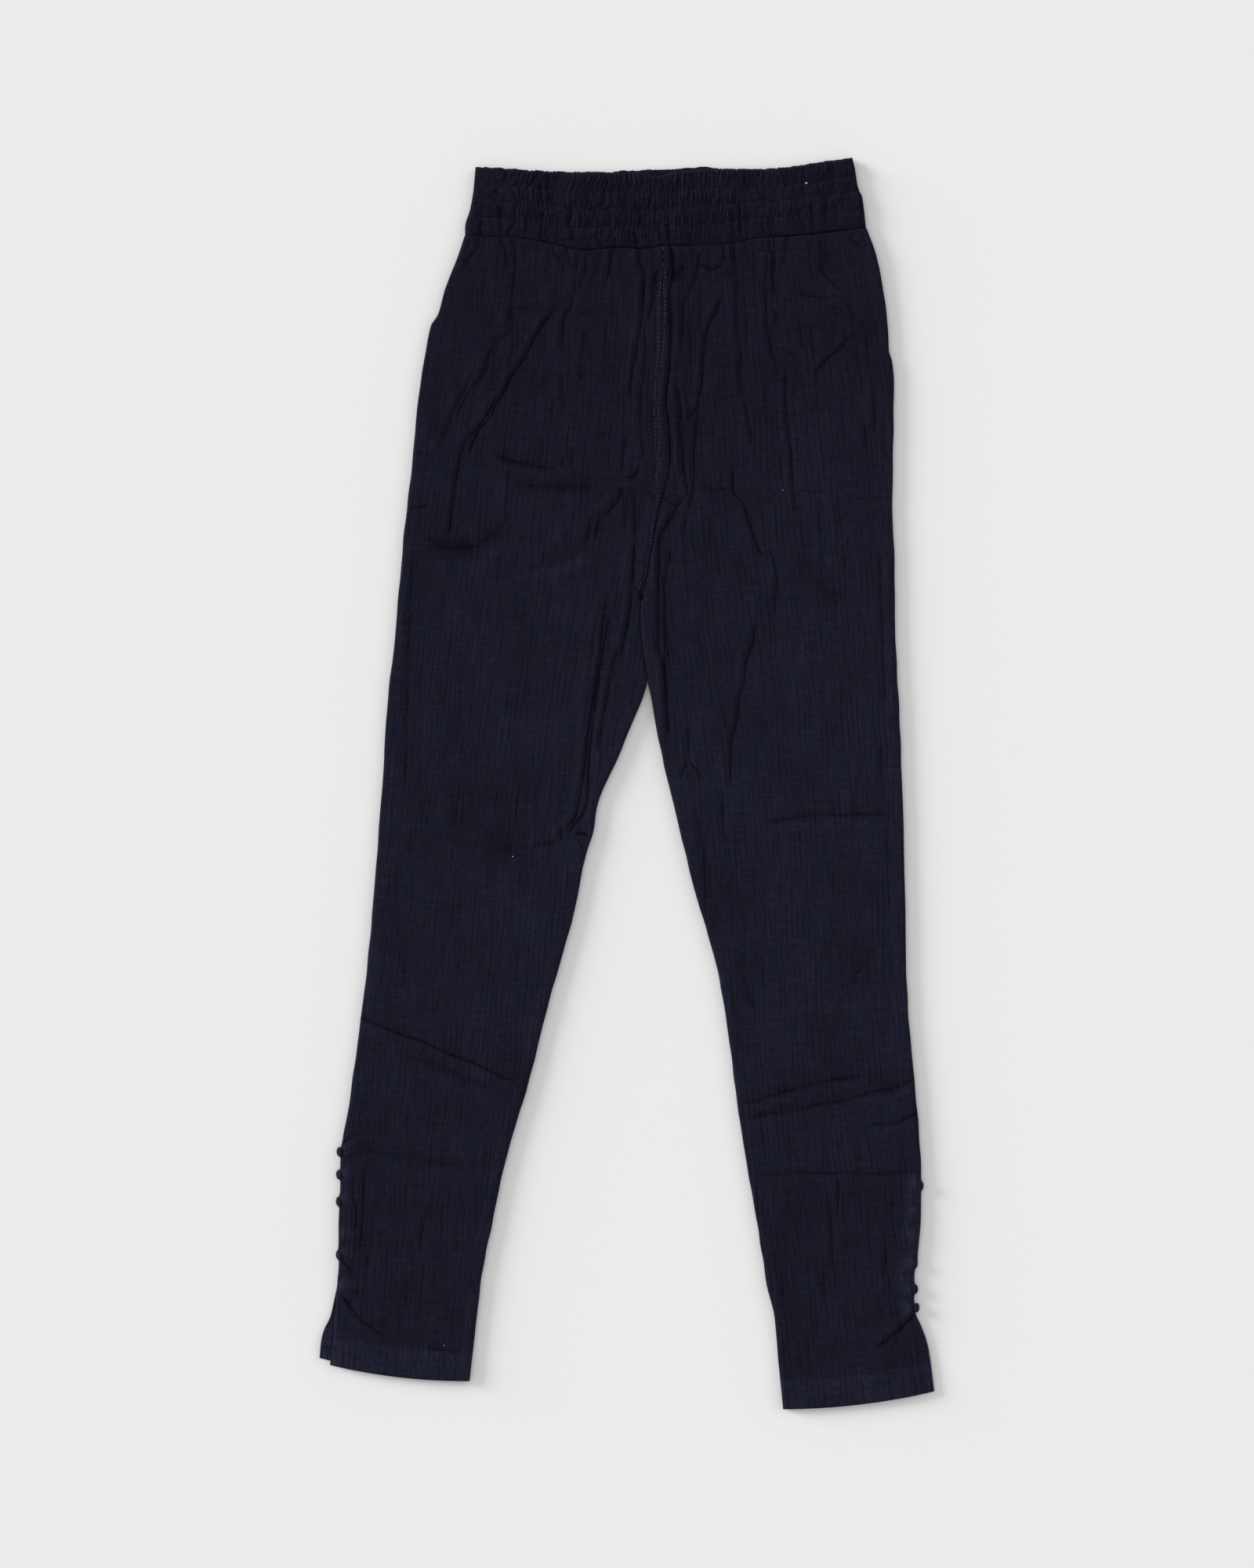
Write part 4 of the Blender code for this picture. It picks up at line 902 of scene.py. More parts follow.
def front_form(leg, panel, sizes):
    """Smooth height of the front panel, and what its creases, seams and hem add to it.

    Also how much painted shade each point gets, the layers of crease lines, which are painted shade, and how
    much
    paler the cloth is: a painted highlight on ridges and over buttons, and paler beside the buttons.
    """
    x, down = panel.x, panel.down
    pitch = sizes.stripe / MM
    u, v = grain_places(leg, x, down, pitch)
    below = down - down[0]
    above = down[-1] - down
    base = LEG_HEIGHT + (YOKE_HEIGHT - LEG_HEIGHT) * (1 - smooth_step(below / YOKE_FADE))
    base = base + (HEM_HEIGHT - LEG_HEIGHT) * (1 - smooth_step(above / (5 * HEM_DEPTH)))
    beside_slit = smooth_step((down - leg.slit_front[0].down) / 12) * (1 - smooth_step(panel.from_outer / 16))
    base = base - 1.1 * beside_slit
    over_band = (1 - smooth_step((below - 2) / 6)) * (1 - smooth_step((panel.from_inner - 3) / 4))
    drop = (base - SEAM_HEIGHT - SEAM_GAP / 2 - LIP) * panel.turned + LIP * panel.lip
    base = base - drop * (1 - 0.75 * over_band)
    inset = np.minimum(panel.from_outer, panel.from_inner)
    at_centre = (down < FORK - 30) & (panel.from_inner < panel.from_outer)
    away = np.where(at_centre, smooth_step((inset + 0.6) / 2.4), smooth_step((inset - 0.6) / 4.0))
    off_band = smooth_step(below / 4)
    off_hem = smooth_step((above - 2) / 12)
    placed = FRONT_CREASES + waist_puckers(sizes.seed)
    creases, shade, ridges, lines = creases_at(x, down, placed, sizes.creasing, FRONT_CELL)
    broad = 0.42 * soft_noise(u, v, 34, 70, 11) + 0.2 * soft_noise(u, v, 15, 30, 12)
    fine = 0.08 * soft_noise(u, v, 6, 19, 13) + 0.05 * soft_noise(u, v, 2.6, 9, 15)
    crumple = 0.16 * soft_noise(x, down, 9, 7, 14) * bell(x - 30, 70) * (1 - smooth_step((down - 330) / 120))
    seam_rise, seam_painted_shade = centre_seam_relief(leg, panel, sizes)
    bulge, drawn, worn = button_bumps(leg, down, panel.from_outer)
    seam_shown = curve_through(SEAM_SHOWN, x) * (1 + 0.4 * soft_noise(x, 0, 5, 1, 19))
    detail = creases * off_hem * (0.4 + 0.6 * off_band)
    detail = detail + (broad + fine + crumple) * off_band
    detail = detail + (1.1 * bulge - 0.6 * drawn) * smooth_step(panel.from_outer / 1.5)
    detail = detail * away + seam_rise * smooth_step((inset + 0.8) / 1.4) + seam_allowance(panel, 70) * away
    detail = detail + hem_relief(x, above) - 1.1 * seam_shown * bell(below, 0.9)
    # Painted shade in the creases, at the crotch, where the cloth is drawn in between buttons and along the
    # waist seam
    painted_shade = [shade * off_hem, seam_painted_shade, 0.5 * drawn, 0.8 * seam_shown * bell(below, 0.8)]
    return base, detail, np.maximum.reduce(painted_shade), lines, worn + ridges


def back_form(leg, panel, sizes):
    """Smooth height of the back panel's underside, and what its hollows and sewing add to it.

    It is flat on the floor but for its rolled edges. Also how much painted shade each point gets, the layers
    of crease lines, which are painted shade, and how much paler it is painted beside the slit, as painted
    light.
    """
    x, down = panel.x, panel.down
    pitch = sizes.stripe / MM
    u, v = grain_places(leg, x, down, pitch)
    beside_slit = smooth_step((down - leg.slit_back[0].down) / 12)
    base = (SEAM_HEIGHT - SEAM_GAP / 2 - LIP) * panel.turned * (1 - 0.45 * beside_slit) + LIP * panel.lip
    base = base + 1.2 * beside_slit * (1 - smooth_step((panel.from_outer - 7) / 3))
    inset = np.minimum(panel.from_outer, panel.from_inner)
    away = smooth_step((inset - 0.5) / 4)
    creases, shade, _, lines = creases_at(x, down, BACK_CREASES, sizes.creasing, BACK_CELL)
    hollow = 0.25 * np.clip(soft_noise(u, v, 34, 70, 21), 0, 1) - np.clip(creases, -1, 0)
    above = down[-1] - down
    hem = 0.3 * bell(above - HEM_DEPTH + 1, 1.3)
    seam = np.abs(x - curve_through(CENTRE_SEAM, down) + BACK_SEAM_ASIDE)
    sewn = 0.55 * bell(seam, 1.2) * (down < FORK - 60) * (leg is RIGHT_LEG)
    # Painted light on the strip beside the slit, and painted shade from the creases
    return base, (hollow + hem + sewn) * away, shade, lines, 0.5 * beside_slit


def lowest_near(values, reach):
    """The lowest value within a square of points around each."""
    for axis in (0, 1):
        moved = [np.roll(values, shift, axis) for shift in range(-reach, reach + 1)]
        values = np.min(moved, axis=0)
    return values


def outward(points, faces_up):
    """Unit normals of a grid of points, up or down."""
    normal = np.cross(np.gradient(points, axis=1), np.gradient(points, axis=0))
    normal /= np.linalg.norm(normal, axis=2, keepdims=True) + 1e-9
    if (normal[..., 2].mean() > 0) != faces_up:
        normal = -normal
    return normal


def every(count, step):
    """Places 0, step, 2 step and so on up to the last of count, which is kept."""
    places = list(range(0, count - 1, step))
    return np.array(places + [count - 1])


def shell_mesh(name, outer, inner, rows, columns, layers, grain):
    """A closed wall of cloth: a fine outer grid, an inner grid at some of its rows and columns, and a rim.

    layers are named numbers for each outer point, and grain is its (u, v) in metres.
    """
    height, width = outer.shape[:2]
    fine = np.arange(height * width).reshape(height, width)
    rough = height * width + np.arange(len(rows) * len(columns)).reshape(len(rows), len(columns))
    quads = [
        np.stack([grid[:-1, :-1], grid[:-1, 1:], grid[1:, 1:], grid[1:, :-1]], -1).reshape(-1, 4)
        for grid in (fine, rough[:, ::-1])
    ]
    faces = np.concatenate(quads).tolist()
    for edge, inner_edge, places in (
        (fine[0], rough[0], columns),
        (fine[:, -1], rough[:, -1], rows),
        (fine[-1, ::-1], rough[-1, ::-1], width - 1 - columns[::-1]),
        (fine[::-1, 0], rough[::-1, 0], height - 1 - rows[::-1]),
    ):
        for a, b, near, far in zip(places, places[1:], inner_edge, inner_edge[1:]):
            faces.append([int(near), *edge[a : b + 1].tolist(), int(far)])
    chosen = np.ix_(rows, columns)
    points = np.concatenate([outer.reshape(-1, 3), inner.reshape(-1, 3)]) * MM
    mesh = bpy.data.meshes.new(name)
    mesh.from_pydata(points.tolist(), [], faces)
    bm = bmesh.new()
    bm.from_mesh(mesh)
    bmesh.ops.recalc_face_normals(bm, faces=bm.faces)
    bm.to_mesh(mesh)
    bm.free()
    for layer, values in layers.items():
        kind, slot_name = ("FLOAT", "value") if values.ndim == 2 else ("FLOAT_VECTOR", "vector")
        attribute = mesh.attributes.new(layer, kind, "POINT")
        listed = np.concatenate([values.ravel(), values[chosen].ravel()]).astype(np.float32)
        attribute.data.foreach_set(slot_name, listed)
    places = np.concatenate([grain.reshape(-1, 2), grain[chosen].reshape(-1, 2)])
    corners = np.zeros(len(mesh.loops), np.int32)
    mesh.loops.foreach_get("vertex_index", corners)
    mesh.uv_layers.new(name="grain").data.foreach_set("uv", places[corners].astype(np.float32).ravel())
    mesh.shade_smooth()
    return mesh


def thin_wall(outer, base, detail, coarse, faces_up, cloth):
    """Inner points of a cloth wall: inside the smooth form, and clear of the bottoms of its creases."""
    rows, columns = every(outer.shape[0], coarse), every(outer.shape[1], coarse)
    smooth = np.dstack([outer[..., 0], outer[..., 1], base])
    inner = smooth - outward(smooth, faces_up) * cloth
    way = 1 if faces_up else -1
    inner[..., 2] += way * lowest_near(np.minimum(way * detail, 0), coarse)
    return inner[np.ix_(rows, columns)], rows, columns


def new_piece(name, mesh, material):
    """A piece with its mesh, material and slot, in the scene."""
    piece = bpy.data.objects.new(name, mesh)
    if not mesh.materials:
        mesh.materials.append(material)
    bpy.context.scene.collection.objects.link(piece)
    return piece


def plain_mesh(piece):
    """Turns a piece's modifiers into plain mesh, and removes them."""
    bpy.context.view_layer.update()
    made = bpy.data.meshes.new_from_object(piece.evaluated_get(bpy.context.evaluated_depsgraph_get()))
    piece.modifiers.clear()
    piece.data = made
    made.shade_smooth()
    return piece


def leg_tone(panel, front):
    """How pale the cloth is at each point: darkest at the gathered centre front, palest at seams and hems.

    The seams and rolled edges carry a painted highlight, strongest on edges that face right.
    """
    x, down = panel.x, panel.down
    tone = curve_through(LEG_TONES, down)
    tone = tone - 0.08 * bell(x - 30, 50) * (1 - smooth_step((down - 240) / 160))
    tone = tone + 0.1 * np.clip((x - 60) / 80, 0, 1) * bell(down - 270, 90)
    tone = tone + 0.29 * (1 - smooth_step((down[-1] - down - HEM_DEPTH) / 3))
    # Painted highlight along the seams and on the rolled edges, strongest where they face right, away from
    # the low light
    at_seams = (1 if front else 0.2) * (1 - smooth_step((panel.from_outer - 6) / 6))
    at_seams = at_seams + (1 - smooth_step((panel.from_inner - 6) / 6)) * smooth_step((down - FORK) / 60)
    faces_right = x > (x[:, :1] + x[:, -1:]) / 2
    tone = (tone + 0.09 * at_seams) * (1 + np.where(faces_right, 1.5, 0.3) * panel.turned)
    patches = 0.09 * soft_noise(x, down, 26, 44, 81) + 0.07 * soft_noise(x, down, 8, 34, 82)
    return tone * (1 + patches + 0.06 * soft_noise(x, down, 40, 13, 83))


def add_leg_panel(context, leg, front, material):
    """One leg's front or back panel, as a closed wall of creased cloth."""
    sizes = context.scene.trouser_sizes
    panel = bend_rows(leg, panel_plan(leg, front), front)
    base, detail, painted_shade, lines, paler = (front_form if front else back_form)(leg, panel, sizes)
    outer = np.dstack([panel.x, WAIST_Y - panel.down, base + detail])
    coarse = FRONT_COARSE if front else BACK_COARSE
    inner, rows, columns = thin_wall(outer, base, detail, coarse, front, sizes.cloth / MM)
    grain = np.dstack(grain_places(leg, panel.x, panel.down, sizes.stripe / MM)) * MM
    # Layers for the shader: the tone, which carries painted highlight, the painted shade, and the crease
    # lines
    layers = {"tone": leg_tone(panel, front) * (1 + paler), "painted_shade": painted_shade}
    layers |= {f"crease_line_{number}": layer for number, layer in enumerate(lines)}
    side = "front" if front else "back"
    name = f"{side}_leg_{leg.name}"
    mesh = shell_mesh(name, outer, inner, rows, columns, layers, grain)
    piece = new_piece(name, mesh, material)
    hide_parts(f"{side}_{leg.name}")
    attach(piece, "root")
    return piece


def band_edges(x, front):
    """How far down the top edge and the seam of half of the waistband are at x."""
    if front:
        return curve_through(BAND_TOP_FRONT, x), curve_through(BAND_SEAM, x)
    return curve_through(BAND_TOP_BACK, x), np.interp(x, *np.array(BAND_SEAM_BACK).T)


def band_plan(parts, front, across, scallop):
    """Plan points of the waistband, and how far its sides have rolled down."""
    turn = np.linspace(1, 0, ROLL_STEPS + 1)
    roll = BAND_ROLL * (1 - np.sin(turn * math.pi / 2))
    drop_roll = 1 - np.cos(turn * math.pi / 2)
    drop = np.concatenate([drop_roll, np.zeros(len(across)), drop_roll[::-1]])
    rows = []
    for part in parts:
        right = float(curve_through(BAND_SIDE_RIGHT, part))
        left = float(curve_through(BAND_SIDE_LEFT, part))
        middle = right + BAND_ROLL + (left - right - 2 * BAND_ROLL) * across
        x = np.concatenate([right + roll, middle, left - roll[::-1]])
        top, seam = band_edges(x, front)
        top = top + np.concatenate([0 * roll, scallop, 0 * roll])
        down = top + (seam - top) * part
        rows.append(np.stack([x, WAIST_Y - down], -1))
    return np.array(rows), drop


def channel_arch(part):
    """Swell of the waistband between two rows of sewing, 0 at a row and 1 half way to the next."""
    edges = [0.0, *STITCH_PARTS, 1.0]
    i = np.clip(np.searchsorted(edges, part, side="right") - 1, 0, len(edges) - 2)
    start, end = np.array(edges)[i], np.array(edges)[i + 1]
    t = np.clip((part - start) / (end - start), 0, 1)
    return (4 * t * (1 - t)) ** 0.55


def gather_tree(material):
    """Node tree that raises a waistband's gathers, from its attributes gather, reach, arch and so on."""
    tree, entry = new_tree("waistband_gathers", GATHER_INPUTS)
    gather, reach, arch, part, painted_shade = (
        add_node(tree, "GeometryNodeInputNamedAttribute", {"Name": name})[0]
        for name in ("gather", "reach", "arch", "part", "painted_shade")
    )
    # The gathers sway a little from one channel to the next
    bend = add_node(tree, "ShaderNodeCombineXYZ", [gather, part, entry["Seed"]])[0]
    sway_at = add_node(tree, "ShaderNodeVectorMath", [bend, (0.21, 4.6, 1.0)], operation="MULTIPLY")[0]
    sway = add_node(tree, "ShaderNodeTexNoise", {"Vector": sway_at, "Scale": 1.0, "Detail": 1.0})[0]
    swayed = add_node(tree, "ShaderNodeMath", [sway, -0.5], operation="ADD")[0]
    phase = add_node(tree, "ShaderNodeMath", [swayed, 2.6, gather], operation="MULTIPLY_ADD")[0]
    # Round crests at whole phases, with sharp troughs half way between
    crest = add_node(tree, "ShaderNodeMath", [phase], operation="ROUND")[0]
    off_crest = add_node(tree, "ShaderNodeMath", [phase, crest], operation="SUBTRACT")[0]
    turned = add_node(tree, "ShaderNodeMath", [off_crest, math.pi], operation="MULTIPLY")[0]
    wave = add_node(tree, "ShaderNodeMath", [turned], operation="COSINE")[0]
    rounded = add_node(tree, "ShaderNodeMath", [wave, 0.75], operation="POWER")[0]
    # Each gather has a height of its own, which changes down the waistband
    which = add_node(tree, "ShaderNodeCombineXYZ", [crest, part, entry["Seed"]])[0]
    which_at = add_node(tree, "ShaderNodeVectorMath", [which, (3.7, 5.2, 1.0)], operation="MULTIPLY")[0]
    uneven = add_node(tree, "ShaderNodeTexNoise", {"Vector": which_at, "Scale": 1.0, "Detail": 0.0})[0]
    links = {"Value": uneven, "From Min": 0.3, "From Max": 0.7, "To Min": 0.1, "To Max": 1.25}
    share = add_node(tree, "ShaderNodeMapRange", links)[0]
    crests = add_node(tree, "ShaderNodeMath", [rounded, share], operation="MULTIPLY")[0]
    tall = add_node(tree, "ShaderNodeMath", [crests, entry["Gather Rise"]], operation="MULTIPLY")[0]
    # Small puckers stand between and on the gathers
    small = add_node(tree, "ShaderNodeCombineXYZ", [phase, part, entry["Seed"]])[0]
    small_at = add_node(tree, "ShaderNodeVectorMath", [small, (2.1, 8.0, 3.0)], operation="MULTIPLY")[0]
    pucker = add_node(tree, "ShaderNodeTexNoise", {"Vector": small_at, "Scale": 1.0, "Detail": 2.0})[0]
    centred = add_node(tree, "ShaderNodeMath", [pucker, -0.5], operation="ADD")[0]
    puckers = add_node(tree, "ShaderNodeMath", [centred, entry["Pucker Rise"]], operation="MULTIPLY")[0]
    relief = add_node(tree, "ShaderNodeMath", [puckers, 2.4, tall], operation="MULTIPLY_ADD")[0]
    reached = add_node(tree, "ShaderNodeMath", [relief, reach], operation="MULTIPLY")[0]
    links = [arch, entry["Channel Puff"], reached]
    swell = add_node(tree, "ShaderNodeMath", links, operation="MULTIPLY_ADD")[0]
    offset = add_node(tree, "ShaderNodeCombineXYZ", {2: swell})[0]
    moved = add_node(tree, "GeometryNodeSetPosition", {"Geometry": entry["Geometry"], "Offset": offset})[0]
    # The bottoms of the troughs get painted shade, and the crests a painted highlight
    sunk = add_node(tree, "ShaderNodeMath", [1.0, rounded], operation="SUBTRACT")[0]
    steep = add_node(tree, "ShaderNodeMath", [sunk, 2.6], operation="POWER")[0]
    trough = add_node(tree, "ShaderNodeMath", [steep, share], operation="MULTIPLY")[0]
    held = add_node(tree, "ShaderNodeMath", [trough, reach], operation="MULTIPLY")[0]
    shown = add_node(tree, "ShaderNodeMath", [held, 1.55], operation="MULTIPLY", use_clamp=True)[0]
    deepest = add_node(tree, "ShaderNodeMath", [shown, painted_shade], operation="MAXIMUM")[0]
    on_crest = add_node(tree, "ShaderNodeMath", [crests, reach], operation="MULTIPLY")[0]
    worn = add_node(tree, "ShaderNodeMath", [on_crest, -0.38, deepest], operation="MULTIPLY_ADD")[0]
    links = {"Geometry": moved, "Name": "painted_shade", "Value": worn}
    marked = add_node(tree, "GeometryNodeStoreNamedAttribute", links, data_type="FLOAT", domain="POINT")[0]
    return end_tree(tree, marked, material)


def add_node(tree, kind, links=(), **settings):
    """Adds a node and gives its outputs.

    settings are its own, and links give its inputs, by name or in order, a value or another node's socket.
    """
    node = tree.nodes.new(kind)
    for name, value in settings.items():
        setattr(node, name, value)
    for name, value in links.items() if isinstance(links, dict) else enumerate(links):
        if isinstance(value, bpy.types.NodeSocket):
            tree.links.new(value, node.inputs[name])
        else:
            node.inputs[name].default_value = value
    return node.outputs


def new_tree(name, numbers, whole_numbers=()):
    """A Geometry Nodes tree with named inputs, and the sockets that they come in by."""
    tree = bpy.data.node_groups.new(name, "GeometryNodeTree")
    kinds = {"Geometry": "NodeSocketGeometry"}
    kinds |= dict.fromkeys(numbers, "NodeSocketFloat") | dict.fromkeys(whole_numbers, "NodeSocketInt")
    for socket, kind in kinds.items():
        tree.interface.new_socket(socket, in_out="INPUT", socket_type=kind)
    tree.interface.new_socket("Geometry", in_out="OUTPUT", socket_type="NodeSocketGeometry")
    return tree, add_node(tree, "NodeGroupInput")


def end_tree(tree, geometry, material):
    """Ends a tree: instances become real, and the geometry gets its material."""
    whole = add_node(tree, "GeometryNodeRealizeInstances", {"Geometry": geometry})[0]
    done = add_node(tree, "GeometryNodeSetMaterial", {"Geometry": whole, "Material": material})[0]
    add_node(tree, "NodeGroupOutput", {"Geometry": done})
    return tree


def use_tree(piece, tree, values):
    """Puts a node tree on a piece, with its inputs set by their sockets' identifiers."""
    modifier = piece.modifiers.new(tree.name, "NODES")
    modifier.node_group = tree
    for item in tree.interface.items_tree:
        if item.in_out == "INPUT" and item.name in values:
            modifier[item.identifier] = values[item.name]
    return piece


def gather_phases(x, part, seed):
    """Phase of the gathers at each place, a whole number at each crest, and how much of them shows there."""
    places, pitches, reaches = np.array(GATHERS).T
    at = np.arange(places[0], places[-1], 1.0)
    crests = np.concatenate([[0], np.cumsum(1 / np.interp(at, places, pitches)[:-1])])
    above = np.clip(1 - part / STITCH_PARTS[0], 0, 1)
    leant = x - GATHER_LEAN * above * bell(x + 62, 48)
    phase = np.interp(leant, at, crests)
    phase = phase + 0.7 * soft_noise(leant, 0, 9, 1, seed) + 0.25 * soft_noise(leant, 0, 3.5, 1, seed + 9)
    return phase, np.interp(leant, places, reaches)


def add_waistband(context, front, material):
    """Half of the waistband: the tables give its smooth form, and the node tree raises its gathers."""
    sizes = context.scene.trouser_sizes
    columns, count = BAND_GRID_FRONT if front else BAND_GRID_BACK
    across = np.linspace(0, 1, columns + 2)[1:-1]
    parts = np.concatenate([[0, 0.008, 0.02], np.linspace(0.035, 0.985, count), [0.994, 1]])
    top_x = BAND_SIDE_RIGHT[0].x + (BAND_SIDE_LEFT[0].x - BAND_SIDE_RIGHT[0].x) * across
    crests, shown = gather_phases(top_x, 0, sizes.seed)
    scallop = shown * (0.42 * np.cos(2 * math.pi * crests) + 0.5 * soft_noise(top_x, 0, 4, 1, 5 + front))
    plan, drop = band_plan(parts, front, across, scallop)
    x, depth = plan[..., 0], parts[:, None] + 0 * plan[..., 0]
    phases, shown = gather_phases(x, depth, sizes.seed if front else sizes.seed + 1)
    row_parts, gathered, heights = np.array(BAND_ROWS).T
    held = np.interp(parts, row_parts, gathered)[:, None] * shown * (1 - drop)
    arch = channel_arch(parts)[:, None] * (1 - drop)
    # Painted shade along the rows of sewing, where the cloth is drawn in
    painted_shade = 0.3 * (1 - channel_arch(parts))[:, None] ** 3 + 0 * phases
    below_top = BAND_DEPTH * depth
    if front:
        height = BAND_BASE * np.interp(parts, row_parts, heights)[:, None]
        base = BAND_INSIDE + SEAM_GAP + (height - SEAM_GAP) * (1 - drop)
        down = WAIST_Y - plan[..., 1]
        creases, creased, _, lines = creases_at(x, down, BAND_CREASES, sizes.creasing, BAND_CELL)
        rough = 0.2 * soft_noise(x, below_top, 4, 4, 17) + 0.16 * soft_noise(x, below_top, 11, 9, 18)
        seam_shown = curve_through(SEAM_SHOWN, x) * (1 + 0.4 * soft_noise(x, 0, 5, 1, 19))
        edge_fall = 0.35 * seam_shown * bell(depth - 1, 0.012)
        uneven = np.clip(creases, -1.3, 0.8) + rough * smooth_step(depth / 0.05) - edge_fall
        base = base + uneven * (1 - drop)
        # Painted shade in the creases and along the waist seam
        painted_shade = np.maximum.reduce([painted_shade, creased, 0.7 * seam_shown * bell(depth - 1, 0.012)])
        inner_height = np.full(base.shape, BAND_INSIDE)
        rises = (sizes.gather_rise, sizes.pucker_rise, sizes.channel_puff)
    else:
        hollow = (sizes.gather_rise + 0.35 * sizes.pucker_rise) / MM
        lift = 1.3 * bell(parts[:, None], 0.025)
        base = lift + (BAND_WALL - SEAM_GAP - lift) * drop + hollow * held
        inner_height = np.full(base.shape, BAND_WALL)
        rises = (-0.8 * sizes.gather_rise, 0.3 * sizes.pucker_rise, 0.0)
    rows, columns = every(base.shape[0], BAND_COARSE), every(base.shape[1], BAND_COARSE)
    outer = np.dstack([plan, base])
    inner = np.dstack([plan, inner_height])[np.ix_(rows, columns)]
    grain = np.dstack([(x + 0.8 * phases) * MM, below_top * MM])
    tone = 1 + 0.16 * soft_noise(x, below_top, 5, 40, 31) + 0.1 * soft_noise(x, below_top, 15, 12, 32)
    tone = tone + 0.25 * bell(depth, 0.03)
    layers = {"gather": phases, "reach": held, "arch": arch, "part": depth, "tone": tone, "painted_shade": painted_shade}
    if front:
        layers |= {f"crease_line_{number}": layer for number, layer in enumerate(lines)}
    side = "front" if front else "back"
    name = f"gathered_waistband_{side}"
    mesh = shell_mesh(name, outer, inner, rows, columns, layers, grain)
    for layer in ("reach", "arch"):
        for point in mesh.attributes[layer].data[outer.shape[0] * outer.shape[1] :]:
            point.value = 0
    piece = new_piece(name, mesh, material)
    values = dict(zip(GATHER_INPUTS, (*rises, float(sizes.seed + front))))
    use_tree(piece, gather_tree(material), values)
    plain_mesh(piece)
    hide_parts(f"waistband_{side}")
    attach(piece, "root")
    return piece


def button_outline():
    """Half of a covered button's section: its dome, its rim, the cloth drawn in behind and the shank."""
    radius = BUTTON_WIDTH / 2
    angles = np.radians(np.linspace(0, 96, 11))
    dome = [(radius * math.sin(angle), BUTTON_THICK * (0.35 + 0.65 * math.cos(angle))) for angle in angles]
    behind = [(radius * 0.9, 0.45), (radius * 0.78, 0.05), (radius * 0.55, -0.05), (1.3, -0.02), (1.2, -0.15)]
    return dome + behind + [(1.15, -BUTTON_SHANK), (0, -BUTTON_SHANK)]


def join_rings(bm, rings, sides):
    """Faces between rings, each of which has a point for every side, or a single one."""
    for ring, following in zip(rings, rings[1:]):
        for side in range(sides):
            corners = [ring[side % len(ring)], ring[(side + 1) % len(ring)]]
            corners += [following[(side + 1) % len(following)], following[side % len(following)]]
            bm.faces.new(list(dict.fromkeys(corners)))


def add_button(leg, number, button, material):
    """A button covered in the trousers' own cloth, standing off the outer seam on its shank."""
    name = f"covered_button_{leg.name}_{number}"
    rng = np.random.default_rng(100 + 10 * leg.side + number)
    lumps = rng.uniform(0, 2 * math.pi, 2)
    bm = bmesh.new()
    rings = []
    for radius, out in button_outline():
        ring = []
        for side in range(BUTTON_SIDES if radius else 1):
            angle = 2 * math.pi * side / BUTTON_SIDES
            pleat = 0.12 * math.cos(9 * angle + lumps[0])
            pleat = pleat * math.exp(-((out - 0.2) ** 2) / 0.5) * (radius > 1.5)
            sag = 0.08 * math.cos(2 * angle + lumps[1]) * radius / BUTTON_WIDTH
            wide = radius + pleat
            ring.append(bm.verts.new((wide * math.cos(angle), wide * math.sin(angle), out + sag)))
        rings.append(ring)
    join_rings(bm, rings, BUTTON_SIDES)
    bmesh.ops.recalc_face_normals(bm, faces=bm.faces)
    grain = bm.loops.layers.uv.new("grain")
    for face in bm.faces:
        for loop in face.loops:
            loop[grain].uv = (loop.vert.co.x * MM + number * 0.0031, loop.vert.co.y * MM)
    mesh = bpy.data.meshes.new(name)
    bm.to_mesh(mesh)
    bm.free()
    beside = button.down + BUTTON_WIDTH / 2 * np.array([-1, 0, 1])
    edge = leg.side * ((leg.side * curve_through(leg.outseam + leg.slit_back, beside)).max() - button.inset)
    points = np.array([vert.co for vert in mesh.vertices])
    lean = leg.side * (math.pi / 2 - BUTTON_TILT)
    x = points[:, 0] * math.cos(lean) + points[:, 2] * math.sin(lean) + edge
    x = x + leg.side * (SEAM_GAP + BUTTON_SHANK)
    z = points[:, 2] * math.cos(lean) - points[:, 0] * math.sin(lean) + BUTTON_HEIGHT
    placed = np.stack([x, points[:, 1] + WAIST_Y - button.down, z], 1) * MM
    mesh.vertices.foreach_set("co", placed.ravel())
    # No painted shade, and the plain tone, on a button
    for layer, value in (("tone", 1.0), ("painted_shade", 0.0)):
        attribute = mesh.attributes.new(layer, "FLOAT", "POINT")
        attribute.data.foreach_set("value", [value] * len(mesh.vertices))
    mesh.shade_smooth()
    piece = new_piece(name, mesh, material)
    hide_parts(f"ankle_button_{leg.name}_{number}")
    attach(piece, "root")
    return piece


